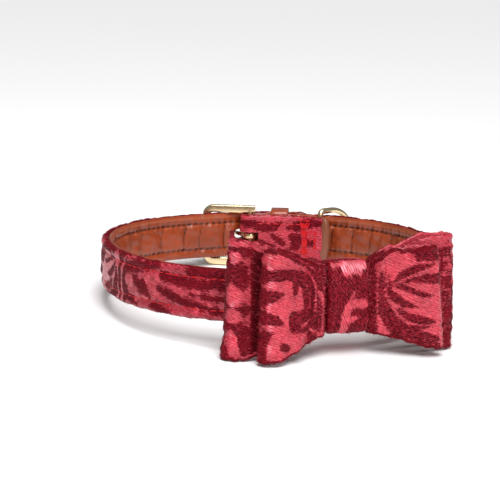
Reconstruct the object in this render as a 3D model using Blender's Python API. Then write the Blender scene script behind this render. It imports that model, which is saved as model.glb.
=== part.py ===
"""Dog collar: a padded brocade strap lined with leather, a gold buckle and a two-loop bow.

The collar is modelled upright in its own frame, in millimetres: X runs along the bow, Y from
the bow to the buckle, and Z across the strap's width, from its lower edge. It lies on the
table as it would by itself: the bow is taller than the strap, so the strap climbs from the
buckle to the bow, and the empty that carries every piece is tilted by that angle.
"""

import math
from collections import namedtuple

import bmesh
import bpy
import numpy as np
from mathutils import Matrix, Vector

MM = 0.001
GAP = 0.34

# The neck hole: the strap's outer face seen from above, a soft oval.
NECK_FRONT = 2.9
NECK_DEPTH = 140.4
NECK_LEFT = 64.4
NECK_RIGHT = 74.2
NECK_CENTRE_X = -9.5
NECK_SKEW = -1.9
NECK_ROUNDNESS = 2.15

# The strap.
STRAP_WIDTH = 20.0
COVER_THICKNESS = 2.8
LINING_THICKNESS = 1.4
FOLD_LENGTH = 39.4
TAIL_LENGTH = 31.0
TIP_LENGTH = 9.0
TIP_BLUNT = 0.16
HOLE_DIAMETER = 4.6
HOLE_SPACING = 12.0
HOLE_COUNT = 3
PRONG_HOLE = -4.35
SLOT_HEIGHT = 4.2
SLOT_REACH = 3.2

# The buckle, the keeper and the lead ring.
HEEL_X = 4.0
HEEL_DEPTH = 4.8
HEEL_RADIUS = 1.35
FRAME_LENGTH = 20.0
FRAME_BAR = 3.4
FRAME_THICKNESS = 2.4
FRAME_WINDOW = 20.6
FRAME_CORNER = 5.0
FRAME_TOE_DEPTH = -2.5
PRONG_RADIUS = 0.95
PRONG_EYE_RADIUS = 2.9
PRONG_EYE_WIDTH = 3.0
KEEPER_AT = 14.0
KEEPER_WIDTH = 8.0
KEEPER_THICKNESS = 1.2
KEEPER_EASE = 0.15
RING_AT = 34.5
RING_WIRE = 2.6
RING_WINDOW = 21.6
RING_REACH = 18.5
RING_SWING = 58.0

# The bow.
BOW_X = 0.8
BOW_CENTRE_Z = 10.9
WAIST_HALF_HEIGHT = 11.2
WAIST_ROUNDING = 0.6
PLY_AT_WAIST = 1.35
PLY_AT_WING = 2.0
FOLD_RADIUS = 3.6
KNOT_WIDTH = 16.2
KNOT_THICKNESS = 2.1
KNOT_CORNER = 1.2
KNOT_TAPER = 0.08

# How far the bow and the buckle frame reach below the strap's lower edge, and the tilt
# that lets both touch the table.
BOW_DROP = 10.93
FRAME_DROP = (FRAME_WINDOW - STRAP_WIDTH) / 2 + FRAME_BAR
TILT = math.atan2(BOW_DROP - FRAME_DROP, NECK_DEPTH + NECK_FRONT)

# Where the strap runs: distance along the neck from the heel bar, depth of the seam
# between cover and lining inside the neck outline, and the thickness of both layers.
Run = namedtuple("Run", "along depth cover lining")
TOE = -FRAME_LENGTH
FOLD_RUNS = [
    Run(FOLD_LENGTH, 8.6, 1.8, 1.0),
    Run(RING_AT, 9.3, 1.8, 1.0),
    Run(25.0, 7.7, 1.8, 1.0),
    Run(KEEPER_AT, 7.8, 1.7, 1.0),
    Run(6.0, 7.6, 1.6, 1.0),
    Run(0.0, 7.65, 1.6, 1.0),
]
START_RUNS = [
    Run(0.0, 1.95, 1.6, 1.0),
    Run(7.0, 2.35, 2.1, 1.2),
    Run(15.0, 2.95, 2.8, 1.4),
]
END_RUNS = [
    Run(-45.0, 2.95, 2.8, 1.4),
    Run(-30.0, 2.85, 2.6, 1.3),
    Run(TOE, 2.45, 2.1, 1.1),
    Run(-10.0, 0.75, 1.9, 1.0),
    Run(-4.0, -0.85, 1.9, 1.0),
    Run(0.0, -1.4, 1.9, 1.0),
    Run(8.0, -1.65, 2.0, 1.0),
    Run(KEEPER_AT, -1.75, 2.0, 1.0),
    Run(24.0, -2.1, 2.0, 1.0),
    Run(TAIL_LENGTH, -3.0, 1.9, 1.0),
]

# Sections across the strap: place from lower edge (-1) to upper edge (1), and how much
# of the layer's thickness stands there. The dips are the two rows of stitching.
Across = namedtuple("Across", "place fullness")
COVER_SECTION = [
    Across(-1.0, 0.3),
    Across(-0.95, 0.72),
    Across(-0.83, 0.97),
    Across(-0.60, 0.80),
    Across(-0.42, 1.0),
    Across(0.0, 1.05),
    Across(0.42, 1.0),
    Across(0.60, 0.80),
    Across(0.83, 0.97),
    Across(0.95, 0.72),
    Across(1.0, 0.3),
]
LINING_SECTION = [
    Across(-0.98, 0.4),
    Across(-0.92, 0.9),
    Across(-0.75, 1.0),
    Across(-0.57, 0.5),
    Across(-0.42, 0.95),
    Across(0.0, 1.0),
    Across(0.42, 0.95),
    Across(0.57, 0.5),
    Across(0.75, 1.0),
    Across(0.92, 0.9),
    Across(0.98, 0.4),
]

KNOT_SECTION = [
    Across(-1.0, 0.45),
    Across(-0.88, 0.9),
    Across(-0.5, 1.0),
    Across(0.0, 1.06),
    Across(0.5, 1.0),
    Across(0.88, 0.9),
    Across(1.0, 0.45),
    Across(0.97, 0.0),
    Across(-0.97, 0.0),
]

# The bow's cloth seen from above: for each distance from its middle, how far in front of
# (-) or behind (+) the bow plane the faces of the two loops lie.
Layer = namedtuple("Layer", "out rear_back rear_front front_back front_front")
LAYERS = [
    Layer(0.0, 2.5, -0.55, -0.9, -3.95),
    Layer(8.0, 2.5, -0.6, -0.95, -4.1),
    Layer(13.0, 2.5, -1.7, -2.1, -6.9),
    Layer(20.0, 3.0, -3.2, -4.1, -10.4),
    Layer(28.0, 4.3, -4.3, -6.3, -13.9),
    Layer(33.0, 4.8, -4.6, -7.1, -14.9),
    Layer(44.0, 5.0, -4.8, -7.4, -15.2),
]
LAYER_OUT = [row.out for row in LAYERS]

# The wings of each loop: how far out the end fold reaches at its upper and lower corner,
# how far those corners lie from the bow's middle, and the share of the way out at which
# the upper and lower edge are fully open.
Wing = namedtuple("Wing", "side reach_top reach_bottom top bottom open_top open_bottom")
REAR_WINGS = [
    Wing(-1, 44.4, 46.0, 22.0, 22.0, 0.95, 0.9),
    Wing(1, 42.4, 42.2, 21.7, 21.7, 0.74, 1.0),
]
FRONT_WINGS = [
    Wing(-1, 33.6, 35.7, 20.4, 21.5, 0.8, 0.85),
    Wing(1, 32.0, 35.6, 19.6, 19.4, 0.8, 1.0),
]

# Upright pleats that the knot squeezes up beside itself on the front loop: the side, the
# distance from the bow's middle, height, half-width, and how much their ends curve away.
Pleat = namedtuple("Pleat", "side out height spread curve")
PLEATS = [
    Pleat(-1, 9.9, 1.4, 1.0, 0.3),
    Pleat(-1, 13.9, -0.7, 1.3, 3.0),
    Pleat(-1, 17.0, 0.5, 2.0, 3.0),
    Pleat(1, 11.2, 1.3, 1.6, 0.6),
    Pleat(1, 14.7, -0.6, 1.3, 2.2),
]
BELLY = 1.8
BELLY_BELOW = 1.9
BOW_ROWS = (-1.0, -0.78, -0.52, -0.26, 0.0, 0.26, 0.52, 0.78, 1.0)
INNER_ROWS = (0.97, 0.5, 0.0, -0.5, -0.97)
WING_STOPS = (8.9, 9.8, 10.9, 12.3, 13.9, 16.0, 19.8, 25.0)
FOLD_STOPS = 7


# Curves and outlines ---------------------------------------------------------------------

def smooth(places, values):
    """A curve through the given values, flat at both ends, as a function of place."""
    places = np.asarray(places, float)
    values = np.asarray(values, float)
    steps = np.diff(places)
    slopes = np.diff(values) / steps
    tangents = np.zeros(len(places))
    for i in range(1, len(places) - 1):
        if slopes[i - 1] * slopes[i] > 0:
            weight = steps[i - 1] + steps[i]
            tangents[i] = 3 * weight / ((steps[i] + weight) / slopes[i - 1] +
                                        (steps[i - 1] + weight) / slopes[i])

    def at(place):
        i = int(np.clip(np.searchsorted(places, place) - 1, 0, len(steps) - 1))
        t = float(np.clip((place - places[i]) / steps[i], 0.0, 1.0))
        rise = values[i + 1] - values[i]
        a, b = tangents[i] * steps[i], tangents[i + 1] * steps[i]
        return values[i] + t * (a + t * (3 * rise - 2 * a - b + t * (a + b - 2 * rise)))

    return at


def ease(t):
    """A soft step from 0 to 1."""
    t = min(max(t, 0.0), 1.0)
    return t * t * (3 - 2 * t)


def neck_outline(count=2880):
    """The strap's outer face seen from above, clockwise from the left side."""
    angle = np.pi - np.linspace(0.0, 2 * np.pi, count, endpoint=False)
    power = 2 / NECK_ROUNDNESS
    cos, sin = np.cos(angle), np.sin(angle)
    half = np.where(cos > 0, NECK_RIGHT, NECK_LEFT)
    back = (1 + np.sign(sin) * np.abs(sin) ** power) / 2
    x = NECK_CENTRE_X + half * np.sign(cos) * np.abs(cos) ** power + NECK_SKEW * back
    return np.stack([x, NECK_FRONT + NECK_DEPTH * back], axis=1)


class Neck:
    """Finds points by their distance along the neck from the heel bar, and their depth."""

    def __init__(self):
        ring = neck_outline()
        behind = ring[:, 1] > NECK_FRONT + NECK_DEPTH / 2
        start = int(np.argmin(np.where(behind, np.abs(ring[:, 0] - HEEL_X), np.inf)))
        ring = np.roll(ring, -start, axis=0)
        self.ring = np.vstack([ring, ring[:1]])
        steps = np.hypot(*np.diff(self.ring, axis=0).T)
        self.along = np.concatenate([[0.0], np.cumsum(steps)])
        self.length = float(self.along[-1])

    def outer(self, along):
        along = along % self.length
        return Vector([float(np.interp(along, self.along, self.ring[:, k])) for k in (0, 1)])

    def outward(self, along):
        ahead = self.outer(along + 0.8) - self.outer(along - 0.8)
        return Vector((-ahead.y, ahead.x)).normalized()

    def at(self, along, depth):
        return self.outer(along) - self.outward(along) * depth


NECK = Neck()


# Meshes ----------------------------------------------------------------------------------

def material(name, colour, roughness, metallic=0.0):
    made = bpy.data.materials.new(name)
    made.use_nodes = True
    shader = made.node_tree.nodes["Principled BSDF"]
    shader.inputs["Base Color"].default_value = (*colour, 1.0)
    shader.inputs["Roughness"].default_value = roughness
    shader.inputs["Metallic"].default_value = metallic
    return made


def sweep(rings, closed):
    """A skin through rings of points, each a list of (x, y, z) in millimetres."""
    mesh = bmesh.new()
    rows = [[mesh.verts.new(Vector(point) * MM) for point in ring] for ring in rings]
    pairs = list(zip(rows, rows[1:]))
    if closed:
        pairs.append((rows[-1], rows[0]))
    for first, second in pairs:
        for i in range(len(first)):
            j = (i + 1) % len(first)
            mesh.faces.new((first[i], first[j], second[j], second[i]))
    if not closed:
        mesh.faces.new(reversed(rows[0]))
        mesh.faces.new(rows[-1])
    bmesh.ops.recalc_face_normals(mesh, faces=mesh.faces)
    return mesh


def place(name, mesh, finish, parent):
    """Turns a bmesh into a named object that the collar's empty carries."""
    data = bpy.data.meshes.new(name)
    mesh.to_mesh(data)
    mesh.free()
    data.materials.append(finish)
    data.shade_smooth()
    data.set_sharp_from_angle(angle=math.radians(40))
    made = bpy.data.objects.new(name, data)
    bpy.context.scene.collection.objects.link(made)
    made.parent = parent
    return made


def cut(target, cutter, operation="DIFFERENCE"):
    """Cuts (or joins) the cutter with the target, and hides the cutter."""
    cutter.hide_render = True
    cutter.display_type = "WIRE"
    step = target.modifiers.new(cutter.name, "BOOLEAN")
    step.operation = operation
    step.solver = "EXACT"
    step.object = cutter


def upright(point, z):
    return (point.x, point.y, z)


# The strap -------------------------------------------------------------------------------

Station = namedtuple("Station", "point out cover lining half_width")


def run_curves(runs):
    along = [run.along for run in runs]
    return [smooth(along, [run[k] for run in runs]) for k in (1, 2, 3)]


def strap_stations():
    """The seam between cover and lining from the folded-back end to the tail's tip."""
    route = []
    depth, cover, lining = run_curves(sorted(FOLD_RUNS))
    for along in np.linspace(FOLD_LENGTH, 0.0, 13):
        route.append((NECK.at(along, depth(along)), cover(along), lining(along), 1.0))
    bar = NECK.at(0.0, HEEL_DEPTH)
    out = NECK.outward(0.0)
    toe_ward = Vector((-out.y, out.x))
    radius = FOLD_RUNS[-1].depth - HEEL_DEPTH
    for angle in np.linspace(-math.pi / 2, math.pi / 2, 9)[1:-1]:
        turn = toe_ward * math.cos(angle) + out * math.sin(angle)
        route.append((bar + turn * radius, START_RUNS[0].cover, START_RUNS[0].lining, 1.0))
    shifted = [run._replace(along=run.along + NECK.length) for run in END_RUNS]
    depth, cover, lining = run_curves(START_RUNS + shifted)
    plain_from, plain_to = START_RUNS[-1].along, NECK.length + END_RUNS[1].along
    tip_from = NECK.length + TAIL_LENGTH - TIP_LENGTH
    stops = np.concatenate([
        np.linspace(0.0, plain_from, 6)[:-1],
        np.linspace(plain_from, plain_to, 58)[:-1],
        np.linspace(plain_to, tip_from, 19)[:-1],
    ])
    for along in stops:
        route.append((NECK.at(along, depth(along)), cover(along), lining(along), 1.0))
    for angle in np.linspace(0.0, math.acos(TIP_BLUNT), 7):
        along = tip_from + TIP_LENGTH * math.sin(angle)
        width = math.cos(angle)
        route.append((NECK.at(along, depth(along)), cover(along), lining(along), width))
    return [with_direction(route, i) for i in range(len(route))]


def with_direction(route, i):
    point, cover, lining, width = route[i]
    ahead = route[min(i + 1, len(route) - 1)][0] - route[max(i - 1, 0)][0]
    out = Vector((-ahead.y, ahead.x)).normalized()
    return Station(point, out, cover, lining, width * STRAP_WIDTH / 2)


def layer_ring(station, section, thickness, side):
    """One section of a layer: its free face, then its flat face along the seam."""
    seam = station.point + station.out * side * GAP / 2
    middle = STRAP_WIDTH / 2
    ring = []
    for row in section:
        point = seam + station.out * side * thickness * row.fullness
        ring.append(upright(point, middle + row.place * station.half_width))
    for place_ in (section[-1].place - 0.03, section[0].place + 0.03):
        ring.append(upright(seam, middle + place_ * station.half_width))
    return ring


def hole_cutter(name, along, depth, diameter, length, parent):
    """A round cutter across the tail."""
    mesh = bmesh.new()
    bmesh.ops.create_cone(mesh, cap_ends=True, segments=16, radius1=diameter / 2 * MM,
                          radius2=diameter / 2 * MM, depth=length * MM)
    out = NECK.outward(along)
    turn = Vector((out.x, out.y, 0.0)).to_track_quat("Z", "Y").to_matrix().to_4x4()
    centre = Vector(upright(NECK.at(along, depth), STRAP_WIDTH / 2)) * MM
    bmesh.ops.transform(mesh, matrix=Matrix.Translation(centre) @ turn, verts=mesh.verts)
    return place(name, mesh, bpy.data.materials["leather"], parent)


def slot_cutter(parent):
    """The slot that lets the prong through the turn round the heel bar."""
    bar = NECK.at(0.0, HEEL_DEPTH)
    out = NECK.outward(0.0)
    ahead = Vector((out.y, -out.x))
    near, far = -9.0, SLOT_REACH
    inner, outer = -9.0, HEEL_DEPTH - 0.05
    mesh = bmesh.new()
    bmesh.ops.create_cube(mesh, size=1.0)
    for vert in mesh.verts:
        a = near if vert.co.x < 0 else far
        b = inner if vert.co.y < 0 else outer
        point = bar + ahead * a + out * b
        z = STRAP_WIDTH / 2 + vert.co.z * SLOT_HEIGHT
        vert.co = Vector(upright(point, z)) * MM
    bmesh.ops.recalc_face_normals(mesh, faces=mesh.faces)
    return place("prong_slot_cutter", mesh, bpy.data.materials["leather"], parent)


def make_strap(parent, brocade, leather):
    stations = strap_stations()
    cover = sweep([layer_ring(s, COVER_SECTION, s.cover, 1) for s in stations], False)
    lining = sweep([layer_ring(s, LINING_SECTION, s.lining, -1) for s in stations], False)
    layers = [place("strap_cover", cover, brocade, parent),
              place("strap_lining", lining, leather, parent)]
    cutters = [slot_cutter(parent)]
    depth = smooth([run.along for run in END_RUNS], [run.depth for run in END_RUNS])
    for i in range(HOLE_COUNT):
        along = PRONG_HOLE + i * HOLE_SPACING
        name = f"tail_hole_cutter_{i + 1}"
        cutters.append(hole_cutter(name, along, depth(along), HOLE_DIAMETER, 5.4, parent))
    for layer in layers:
        for cutter in cutters:
            cut(layer, cutter)


# The buckle, the keeper and the lead ring --------------------------------------------------

Bend = namedtuple("Bend", "along depth")
PRONG_BENDS = [
    Bend(-0.8, 2.6),
    Bend(-2.9, 1.1),
    Bend(-4.4, -1.3),
    Bend(-5.5, -3.7),
    Bend(-8.0, -5.1),
    Bend(-13.0, -5.4),
    Bend(-20.0, -5.3),
    Bend(-23.3, -4.9),
]


def frame_axes():
    """The frame's heel bar, its direction to the toe bar and its outward side."""
    heel = NECK.at(0.0, HEEL_DEPTH)
    toe = NECK.at(TOE, FRAME_TOE_DEPTH)
    ahead = (toe - heel).normalized()
    return heel, ahead, Vector((ahead.y, -ahead.x))


def make_frame(parent, gold):
    """A U of flat bar, rounded at its two corners, closed by the round heel bar."""
    heel, ahead, out = frame_axes()
    middle = STRAP_WIDTH / 2
    half_in = FRAME_WINDOW / 2
    half_out = half_in + FRAME_BAR
    far_out = FRAME_LENGTH + FRAME_BAR / 2
    far_in = FRAME_LENGTH - FRAME_BAR / 2
    near = -HEEL_RADIUS - 0.9

    def corner(far, half, radius, side):
        centre_a, centre_z = far - radius, half - radius
        turns = np.linspace(0.0, math.pi / 2, 7)
        if side < 0:
            turns = turns[::-1]
        return [(centre_a + radius * math.cos(t), side * (centre_z + radius * math.sin(t)))
                for t in turns]

    outside = [(near, -half_out)] + corner(far_out, half_out, FRAME_CORNER, -1) + \
        corner(far_out, half_out, FRAME_CORNER, 1) + [(near, half_out)]
    inside = [(near, half_in)] + \
        corner(far_in, half_in, FRAME_CORNER - FRAME_BAR + 0.6, 1)[::-1] + \
        corner(far_in, half_in, FRAME_CORNER - FRAME_BAR + 0.6, -1)[::-1] + [(near, -half_in)]
    mesh = bmesh.new()
    face = mesh.faces.new([mesh.verts.new((a * MM, z * MM, 0.0)) for a, z in outside + inside])
    grown = bmesh.ops.extrude_face_region(mesh, geom=[face])
    moved = [v for v in grown["geom"] if isinstance(v, bmesh.types.BMVert)]
    bmesh.ops.translate(mesh, verts=moved, vec=(0.0, 0.0, FRAME_THICKNESS * MM))
    bmesh.ops.recalc_face_normals(mesh, faces=mesh.faces)
    rims = [e for e in mesh.edges if len(e.link_faces) == 2
            and abs(e.verts[0].co.z - e.verts[1].co.z) < 1e-7
            and e.calc_face_angle() > 1.0]
    bmesh.ops.bevel(mesh, geom=rims, offset=0.55 * MM, segments=2, profile=0.5,
                    affect="EDGES", material=-1)
    for vert in mesh.verts:
        a, z, b = vert.co / MM
        point = heel + ahead * a + out * (b - FRAME_THICKNESS / 2)
        vert.co = Vector(upright(point, middle + z)) * MM
    bmesh.ops.recalc_face_normals(mesh, faces=mesh.faces)
    frame = place("buckle_frame", mesh, gold, parent)
    bar = bmesh.new()
    bmesh.ops.create_cone(bar, cap_ends=True, segments=20, radius1=HEEL_RADIUS * MM,
                          radius2=HEEL_RADIUS * MM, depth=(FRAME_WINDOW + FRAME_BAR) * MM)
    centre = Vector(upright(heel, middle)) * MM
    bmesh.ops.translate(bar, verts=bar.verts, vec=centre)
    cut(frame, place("heel_bar_joined", bar, gold, parent), "UNION")


def tube(points, radius, sides):
    """Rings round a path that stays in one level plane."""
    rings = []
    for i, point in enumerate(points):
        ahead = points[min(i + 1, len(points) - 1)] - points[max(i - 1, 0)]
        aside = Vector((-ahead.y, ahead.x)).normalized()
        size = radius if i < len(points) - 1 else radius * 0.55
        ring = []
        for k in range(sides):
            turn = 2 * math.pi * (k + 0.5) / sides
            offset = aside * size * math.cos(turn)
            z = STRAP_WIDTH / 2 + size * math.sin(turn)
            ring.append(upright(point + offset, z))
        rings.append(ring)
    return rings


def make_prong(parent, gold):
    """A bent pin from the eye on the heel bar, through the tail, over the toe bar."""
    along = [bend.along for bend in PRONG_BENDS][::-1]
    depth = smooth(along, [bend.depth for bend in PRONG_BENDS][::-1])
    stops = np.linspace(along[-1], along[0], 20)
    points = [NECK.at(stop, depth(stop)) for stop in stops]
    prong = place("buckle_prong", sweep(tube(points, PRONG_RADIUS, 10), False), gold, parent)
    heel = NECK.at(0.0, HEEL_DEPTH)
    centre = Vector(upright(heel, STRAP_WIDTH / 2)) * MM
    for name, radius, height, operation in (
            ("prong_eye_joined", PRONG_EYE_RADIUS, PRONG_EYE_WIDTH, "UNION"),
            ("prong_eye_bore_cutter", HEEL_RADIUS + GAP, PRONG_EYE_WIDTH * 3, "DIFFERENCE")):
        disc = bmesh.new()
        bmesh.ops.create_cone(disc, cap_ends=True, segments=24, radius1=radius * MM,
                              radius2=radius * MM, depth=height * MM)
        bmesh.ops.translate(disc, verts=disc.verts, vec=centre)
        cut(prong, place(name, disc, gold, parent), operation)


def rounded_box(low, high, half, radius, turns, upright_steps=1, level_steps=1):
    """A closed outline from low to high along the first axis, half tall each way."""
    corners = ((high - radius, half - radius), (low + radius, half - radius),
               (low + radius, radius - half), (high - radius, radius - half))
    outline = []
    for quarter, (first, second) in enumerate(corners):
        for step in range(turns + 1):
            turn = math.pi / 2 * (quarter + step / turns)
            outline.append((first + radius * math.cos(turn), second + radius * math.sin(turn)))
        following = corners[(quarter + 1) % 4]
        steps = level_steps if quarter % 2 == 0 else upright_steps
        start = outline[-1]
        for step in range(1, steps):
            share = step / steps
            outline.append((start[0] + (following[0] - first) * share,
                            start[1] + (following[1] - second) * share))
    return outline


def make_keeper(parent, leather):
    """A plain loop round the strap and the tail, with its back between the two plies."""
    depth = smooth([run.along for run in END_RUNS], [run.depth for run in END_RUNS])
    run = END_RUNS[7]
    tail_face = depth(KEEPER_AT) - GAP / 2 - run.cover * 1.05
    lining_face = COVER_THICKNESS + GAP + LINING_THICKNESS
    low = -(lining_face + GAP + KEEPER_EASE + KEEPER_THICKNESS)
    high = -tail_face + GAP + KEEPER_EASE + KEEPER_THICKNESS
    half = STRAP_WIDTH / 2 + GAP + KEEPER_THICKNESS
    rings = []
    outer = rounded_box(low, high, half, 1.6, 3)
    inner = rounded_box(low + KEEPER_THICKNESS, high - KEEPER_THICKNESS,
                        half - KEEPER_THICKNESS, 0.4, 3)
    for (b_out, z_out), (b_in, z_in) in zip(outer, inner):
        ring = []
        for b, z, share in ((b_out, z_out, -0.46), (b_out, z_out, 0.46),
                            (b_in, z_in, 0.5), (b_in, z_in, -0.5)):
            point = NECK.at(KEEPER_AT, 0.0)
            out = NECK.outward(KEEPER_AT)
            point = point + out * b + Vector((out.y, -out.x)) * share * KEEPER_WIDTH
            ring.append(upright(point, STRAP_WIDTH / 2 + z))
        rings.append(ring)
    return place("keeper", sweep(rings, True), leather, parent)


def make_lead_ring(parent, gold):
    """A D ring of flat-sided wire: its bar lies between the plies, its bow swings out."""
    depth = smooth([run.along for run in FOLD_RUNS][::-1], [run.depth for run in FOLD_RUNS][::-1])
    seat_low = COVER_THICKNESS + GAP + LINING_THICKNESS
    seat_high = depth(RING_AT) - GAP / 2 - FOLD_RUNS[1].lining
    bar = NECK.at(RING_AT, (seat_low + seat_high) / 2)
    out = NECK.outward(RING_AT)
    ahead = Vector((out.y, -out.x))
    swing = math.radians(RING_SWING)
    reach = ahead * math.cos(swing) + out * math.sin(swing)
    across = out * math.cos(swing) - ahead * math.sin(swing)
    half = RING_WINDOW / 2 + RING_WIRE / 2
    leg = RING_REACH - half
    path = [(0.0, z) for z in np.linspace(-half + 1.2, half - 1.2, 5)]
    path += [(0.35, half - 0.35), (1.2, half)]
    for turn in np.linspace(math.pi / 2, -math.pi / 2, 14):
        path.append((leg + (RING_REACH - leg) * math.cos(turn), half * math.sin(turn)))
    path += [(1.2, -half), (0.35, -half + 0.35)]
    rings = []
    for i, (a, z) in enumerate(path):
        before, after = path[i - 1], path[(i + 1) % len(path)]
        along = Vector((after[0] - before[0], after[1] - before[1])).normalized()
        side = Vector((along.y, -along.x))
        ring = []
        for k in range(8):
            turn = 2 * math.pi * (k + 0.5) / 8
            size = RING_WIRE / 2 / math.cos(math.pi / 8)
            move, lift = side * size * math.cos(turn), size * math.sin(turn)
            point = bar + reach * (a + move.x) + across * lift
            ring.append(upright(point, STRAP_WIDTH / 2 + z + move.y))
        rings.append(ring)
    return place("lead_ring", sweep(rings, True), gold, parent)


# The bow ---------------------------------------------------------------------------------

def pleat_height(side, out, row):
    total = 0.0
    for pleat in PLEATS:
        if pleat.side == side:
            centre = pleat.out + pleat.curve * row ** 2
            total += pleat.height * math.exp(-((out - centre) / pleat.spread) ** 2)
    return total


def wing_profile(wing, back, front):
    """Stops round one wing from its front face over the end fold to its back face.

    Each stop is (out, outer y, inner out, inner y, share of the way out, pleats)."""
    reach = (wing.reach_top + wing.reach_bottom) / 2
    turn_at = reach - FOLD_RADIUS
    ply = smooth([0.0, 8.0, 13.0, 60.0], [PLY_AT_WAIST, PLY_AT_WAIST, PLY_AT_WING, PLY_AT_WING])
    stops = [out for out in WING_STOPS if out < turn_at - 2.0]
    if turn_at - stops[-1] > 8.0:
        stops.append((stops[-1] + turn_at) / 2)
    stops.append(turn_at)
    walls = []
    for face, sign in ((front, 1), (back, -1)):
        wall = [(out, face(out), out, face(out) + sign * ply(out), sign > 0) for out in stops]
        walls.append(wall)
    middle = (front(turn_at) + back(turn_at)) / 2
    half = (back(turn_at) - front(turn_at)) / 2
    inner_half = half - ply(turn_at)
    fold = []
    for turn in np.linspace(0.0, math.pi, FOLD_STOPS + 2)[1:-1]:
        sin, cos = math.sin(turn), math.cos(turn)
        fold.append((turn_at + FOLD_RADIUS * sin, middle - half * cos,
                     turn_at + (FOLD_RADIUS - PLY_AT_WING) * sin, middle - inner_half * cos,
                     False))
    return walls[0] + fold + walls[1][::-1], reach


def wing_rings(wing, back, front, waist, pleated):
    stops, reach = wing_profile(wing, back, front)
    rings = []
    for out, y, inner_out, inner_y, is_front in stops:
        ring = []
        for row in BOW_ROWS:
            rise = pleat_height(wing.side, out, row) if pleated and is_front else 0.0
            ring.append(wing_point(wing, reach, waist, out, y - rise, row))
        for row in INNER_ROWS:
            ring.append(wing_point(wing, reach, waist, inner_out, inner_y, row))
        rings.append(ring)
    return rings


def wing_point(wing, reach, waist, out, y, row):
    share = (out - KNOT_WIDTH / 2) / (reach - KNOT_WIDTH / 2)
    share = min(max(share, 0.0), 1.0)
    upper = row >= 0
    corner, opening = (wing.top, wing.open_top) if upper else (wing.bottom, wing.open_bottom)
    swell = BELLY if upper else BELLY_BELOW + BELLY
    beside_knot = waist + swell * ease((out - KNOT_WIDTH / 2) / 2.4)
    height = beside_knot + (corner - beside_knot) * ease(share / opening)
    lean = (wing.reach_top - wing.reach_bottom) / 2 * row + 0.5 * (1 - row * row)
    x = BOW_X + wing.side * (out + lean * share ** 3)
    return (x, y, BOW_CENTRE_Z + row * height)


def make_bow_loop(name, wings, column, waist, pleated, parent, brocade):
    """A flattened band of cloth, pinched to its waist, open above and below."""
    back = smooth(LAYER_OUT, [getattr(row, column + "_back") for row in LAYERS])
    front = smooth(LAYER_OUT, [getattr(row, column + "_front") for row in LAYERS])
    left, right = [wing_rings(wing, back, front, waist, pleated) for wing in wings]
    middle = []
    for face, sign in ((front, 1), (back, -1)):
        rows = []
        for x in (-KNOT_WIDTH / 2, 0.0, KNOT_WIDTH / 2):
            outer, inner = face(abs(x)), face(abs(x)) + sign * PLY_AT_WAIST
            rows.append([(BOW_X + x, outer, BOW_CENTRE_Z + row * waist) for row in BOW_ROWS] +
                        [(BOW_X + x, inner, BOW_CENTRE_Z + row * waist)
                         for row in INNER_ROWS])
        middle.append(rows)
    rings = middle[0] + right + middle[1][::-1] + left[::-1]
    return place(name, sweep(rings, True), brocade, parent)


def make_knot(parent, brocade):
    """The band round the waist of both loops and round the strap behind them."""
    first, middle, last = knot_span()
    behind = COVER_THICKNESS + GAP + LINING_THICKNESS
    crossings = [NECK.at(along, behind) for along in (first, middle, last)]
    slope = (crossings[2].y - crossings[0].y) / (crossings[2].x - crossings[0].x)
    back = GAP + max(point.y - slope * point.x for point in crossings)
    front = LAYERS[1].front_front - GAP
    clear = LAYERS[0].rear_back + GAP
    half = WAIST_HALF_HEIGHT + GAP
    inside = rounded_box(front, back, half, KNOT_CORNER, 3, 7, 3)
    rings = []
    for i, (y, z) in enumerate(inside):
        before, after = inside[i - 1], inside[(i + 1) % len(inside)]
        along = Vector((after[0] - before[0], after[1] - before[1])).normalized()
        outward = Vector((along.y, -along.x)) * KNOT_THICKNESS
        to_strap = ease((y - clear) / (back - clear))
        centre_z = BOW_CENTRE_Z + (STRAP_WIDTH / 2 - BOW_CENTRE_Z) * to_strap
        ring = []
        for row in KNOT_SECTION:
            x = BOW_X + row.place * KNOT_WIDTH / 2
            point = Vector((y + slope * x * to_strap, z * (1 - KNOT_TAPER * to_strap)))
            point += outward * row.fullness
            ring.append((x, point.x, centre_z + point.y))
        rings.append(ring)
    return place("bow_knot", sweep(rings, True), brocade, parent)


def knot_span():
    """Distances along the neck where the knot crosses the strap."""
    front = [along for along in np.linspace(0.0, NECK.length, 1200)
             if abs(NECK.outer(along).x - BOW_X) < KNOT_WIDTH / 2 + 0.5
             and NECK.outer(along).y < NECK_FRONT + NECK_DEPTH / 2]
    return front[0], front[len(front) // 2], front[-1]


# The collar ------------------------------------------------------------------------------

def settle(collar):
    """Sets the tilted collar on the table with the middle of its box over the origin."""
    bpy.context.view_layer.update()
    shapes = bpy.context.evaluated_depsgraph_get()
    points = []
    for piece in collar.children:
        if not piece.hide_render:
            mesh = piece.evaluated_get(shapes).data
            points += [piece.matrix_world @ vert.co for vert in mesh.vertices]
    low = [min(point[k] for point in points) for k in range(3)]
    high = [max(point[k] for point in points) for k in range(3)]
    collar.location = (-(low[0] + high[0]) / 2, -(low[1] + high[1]) / 2, -low[2])


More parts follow.
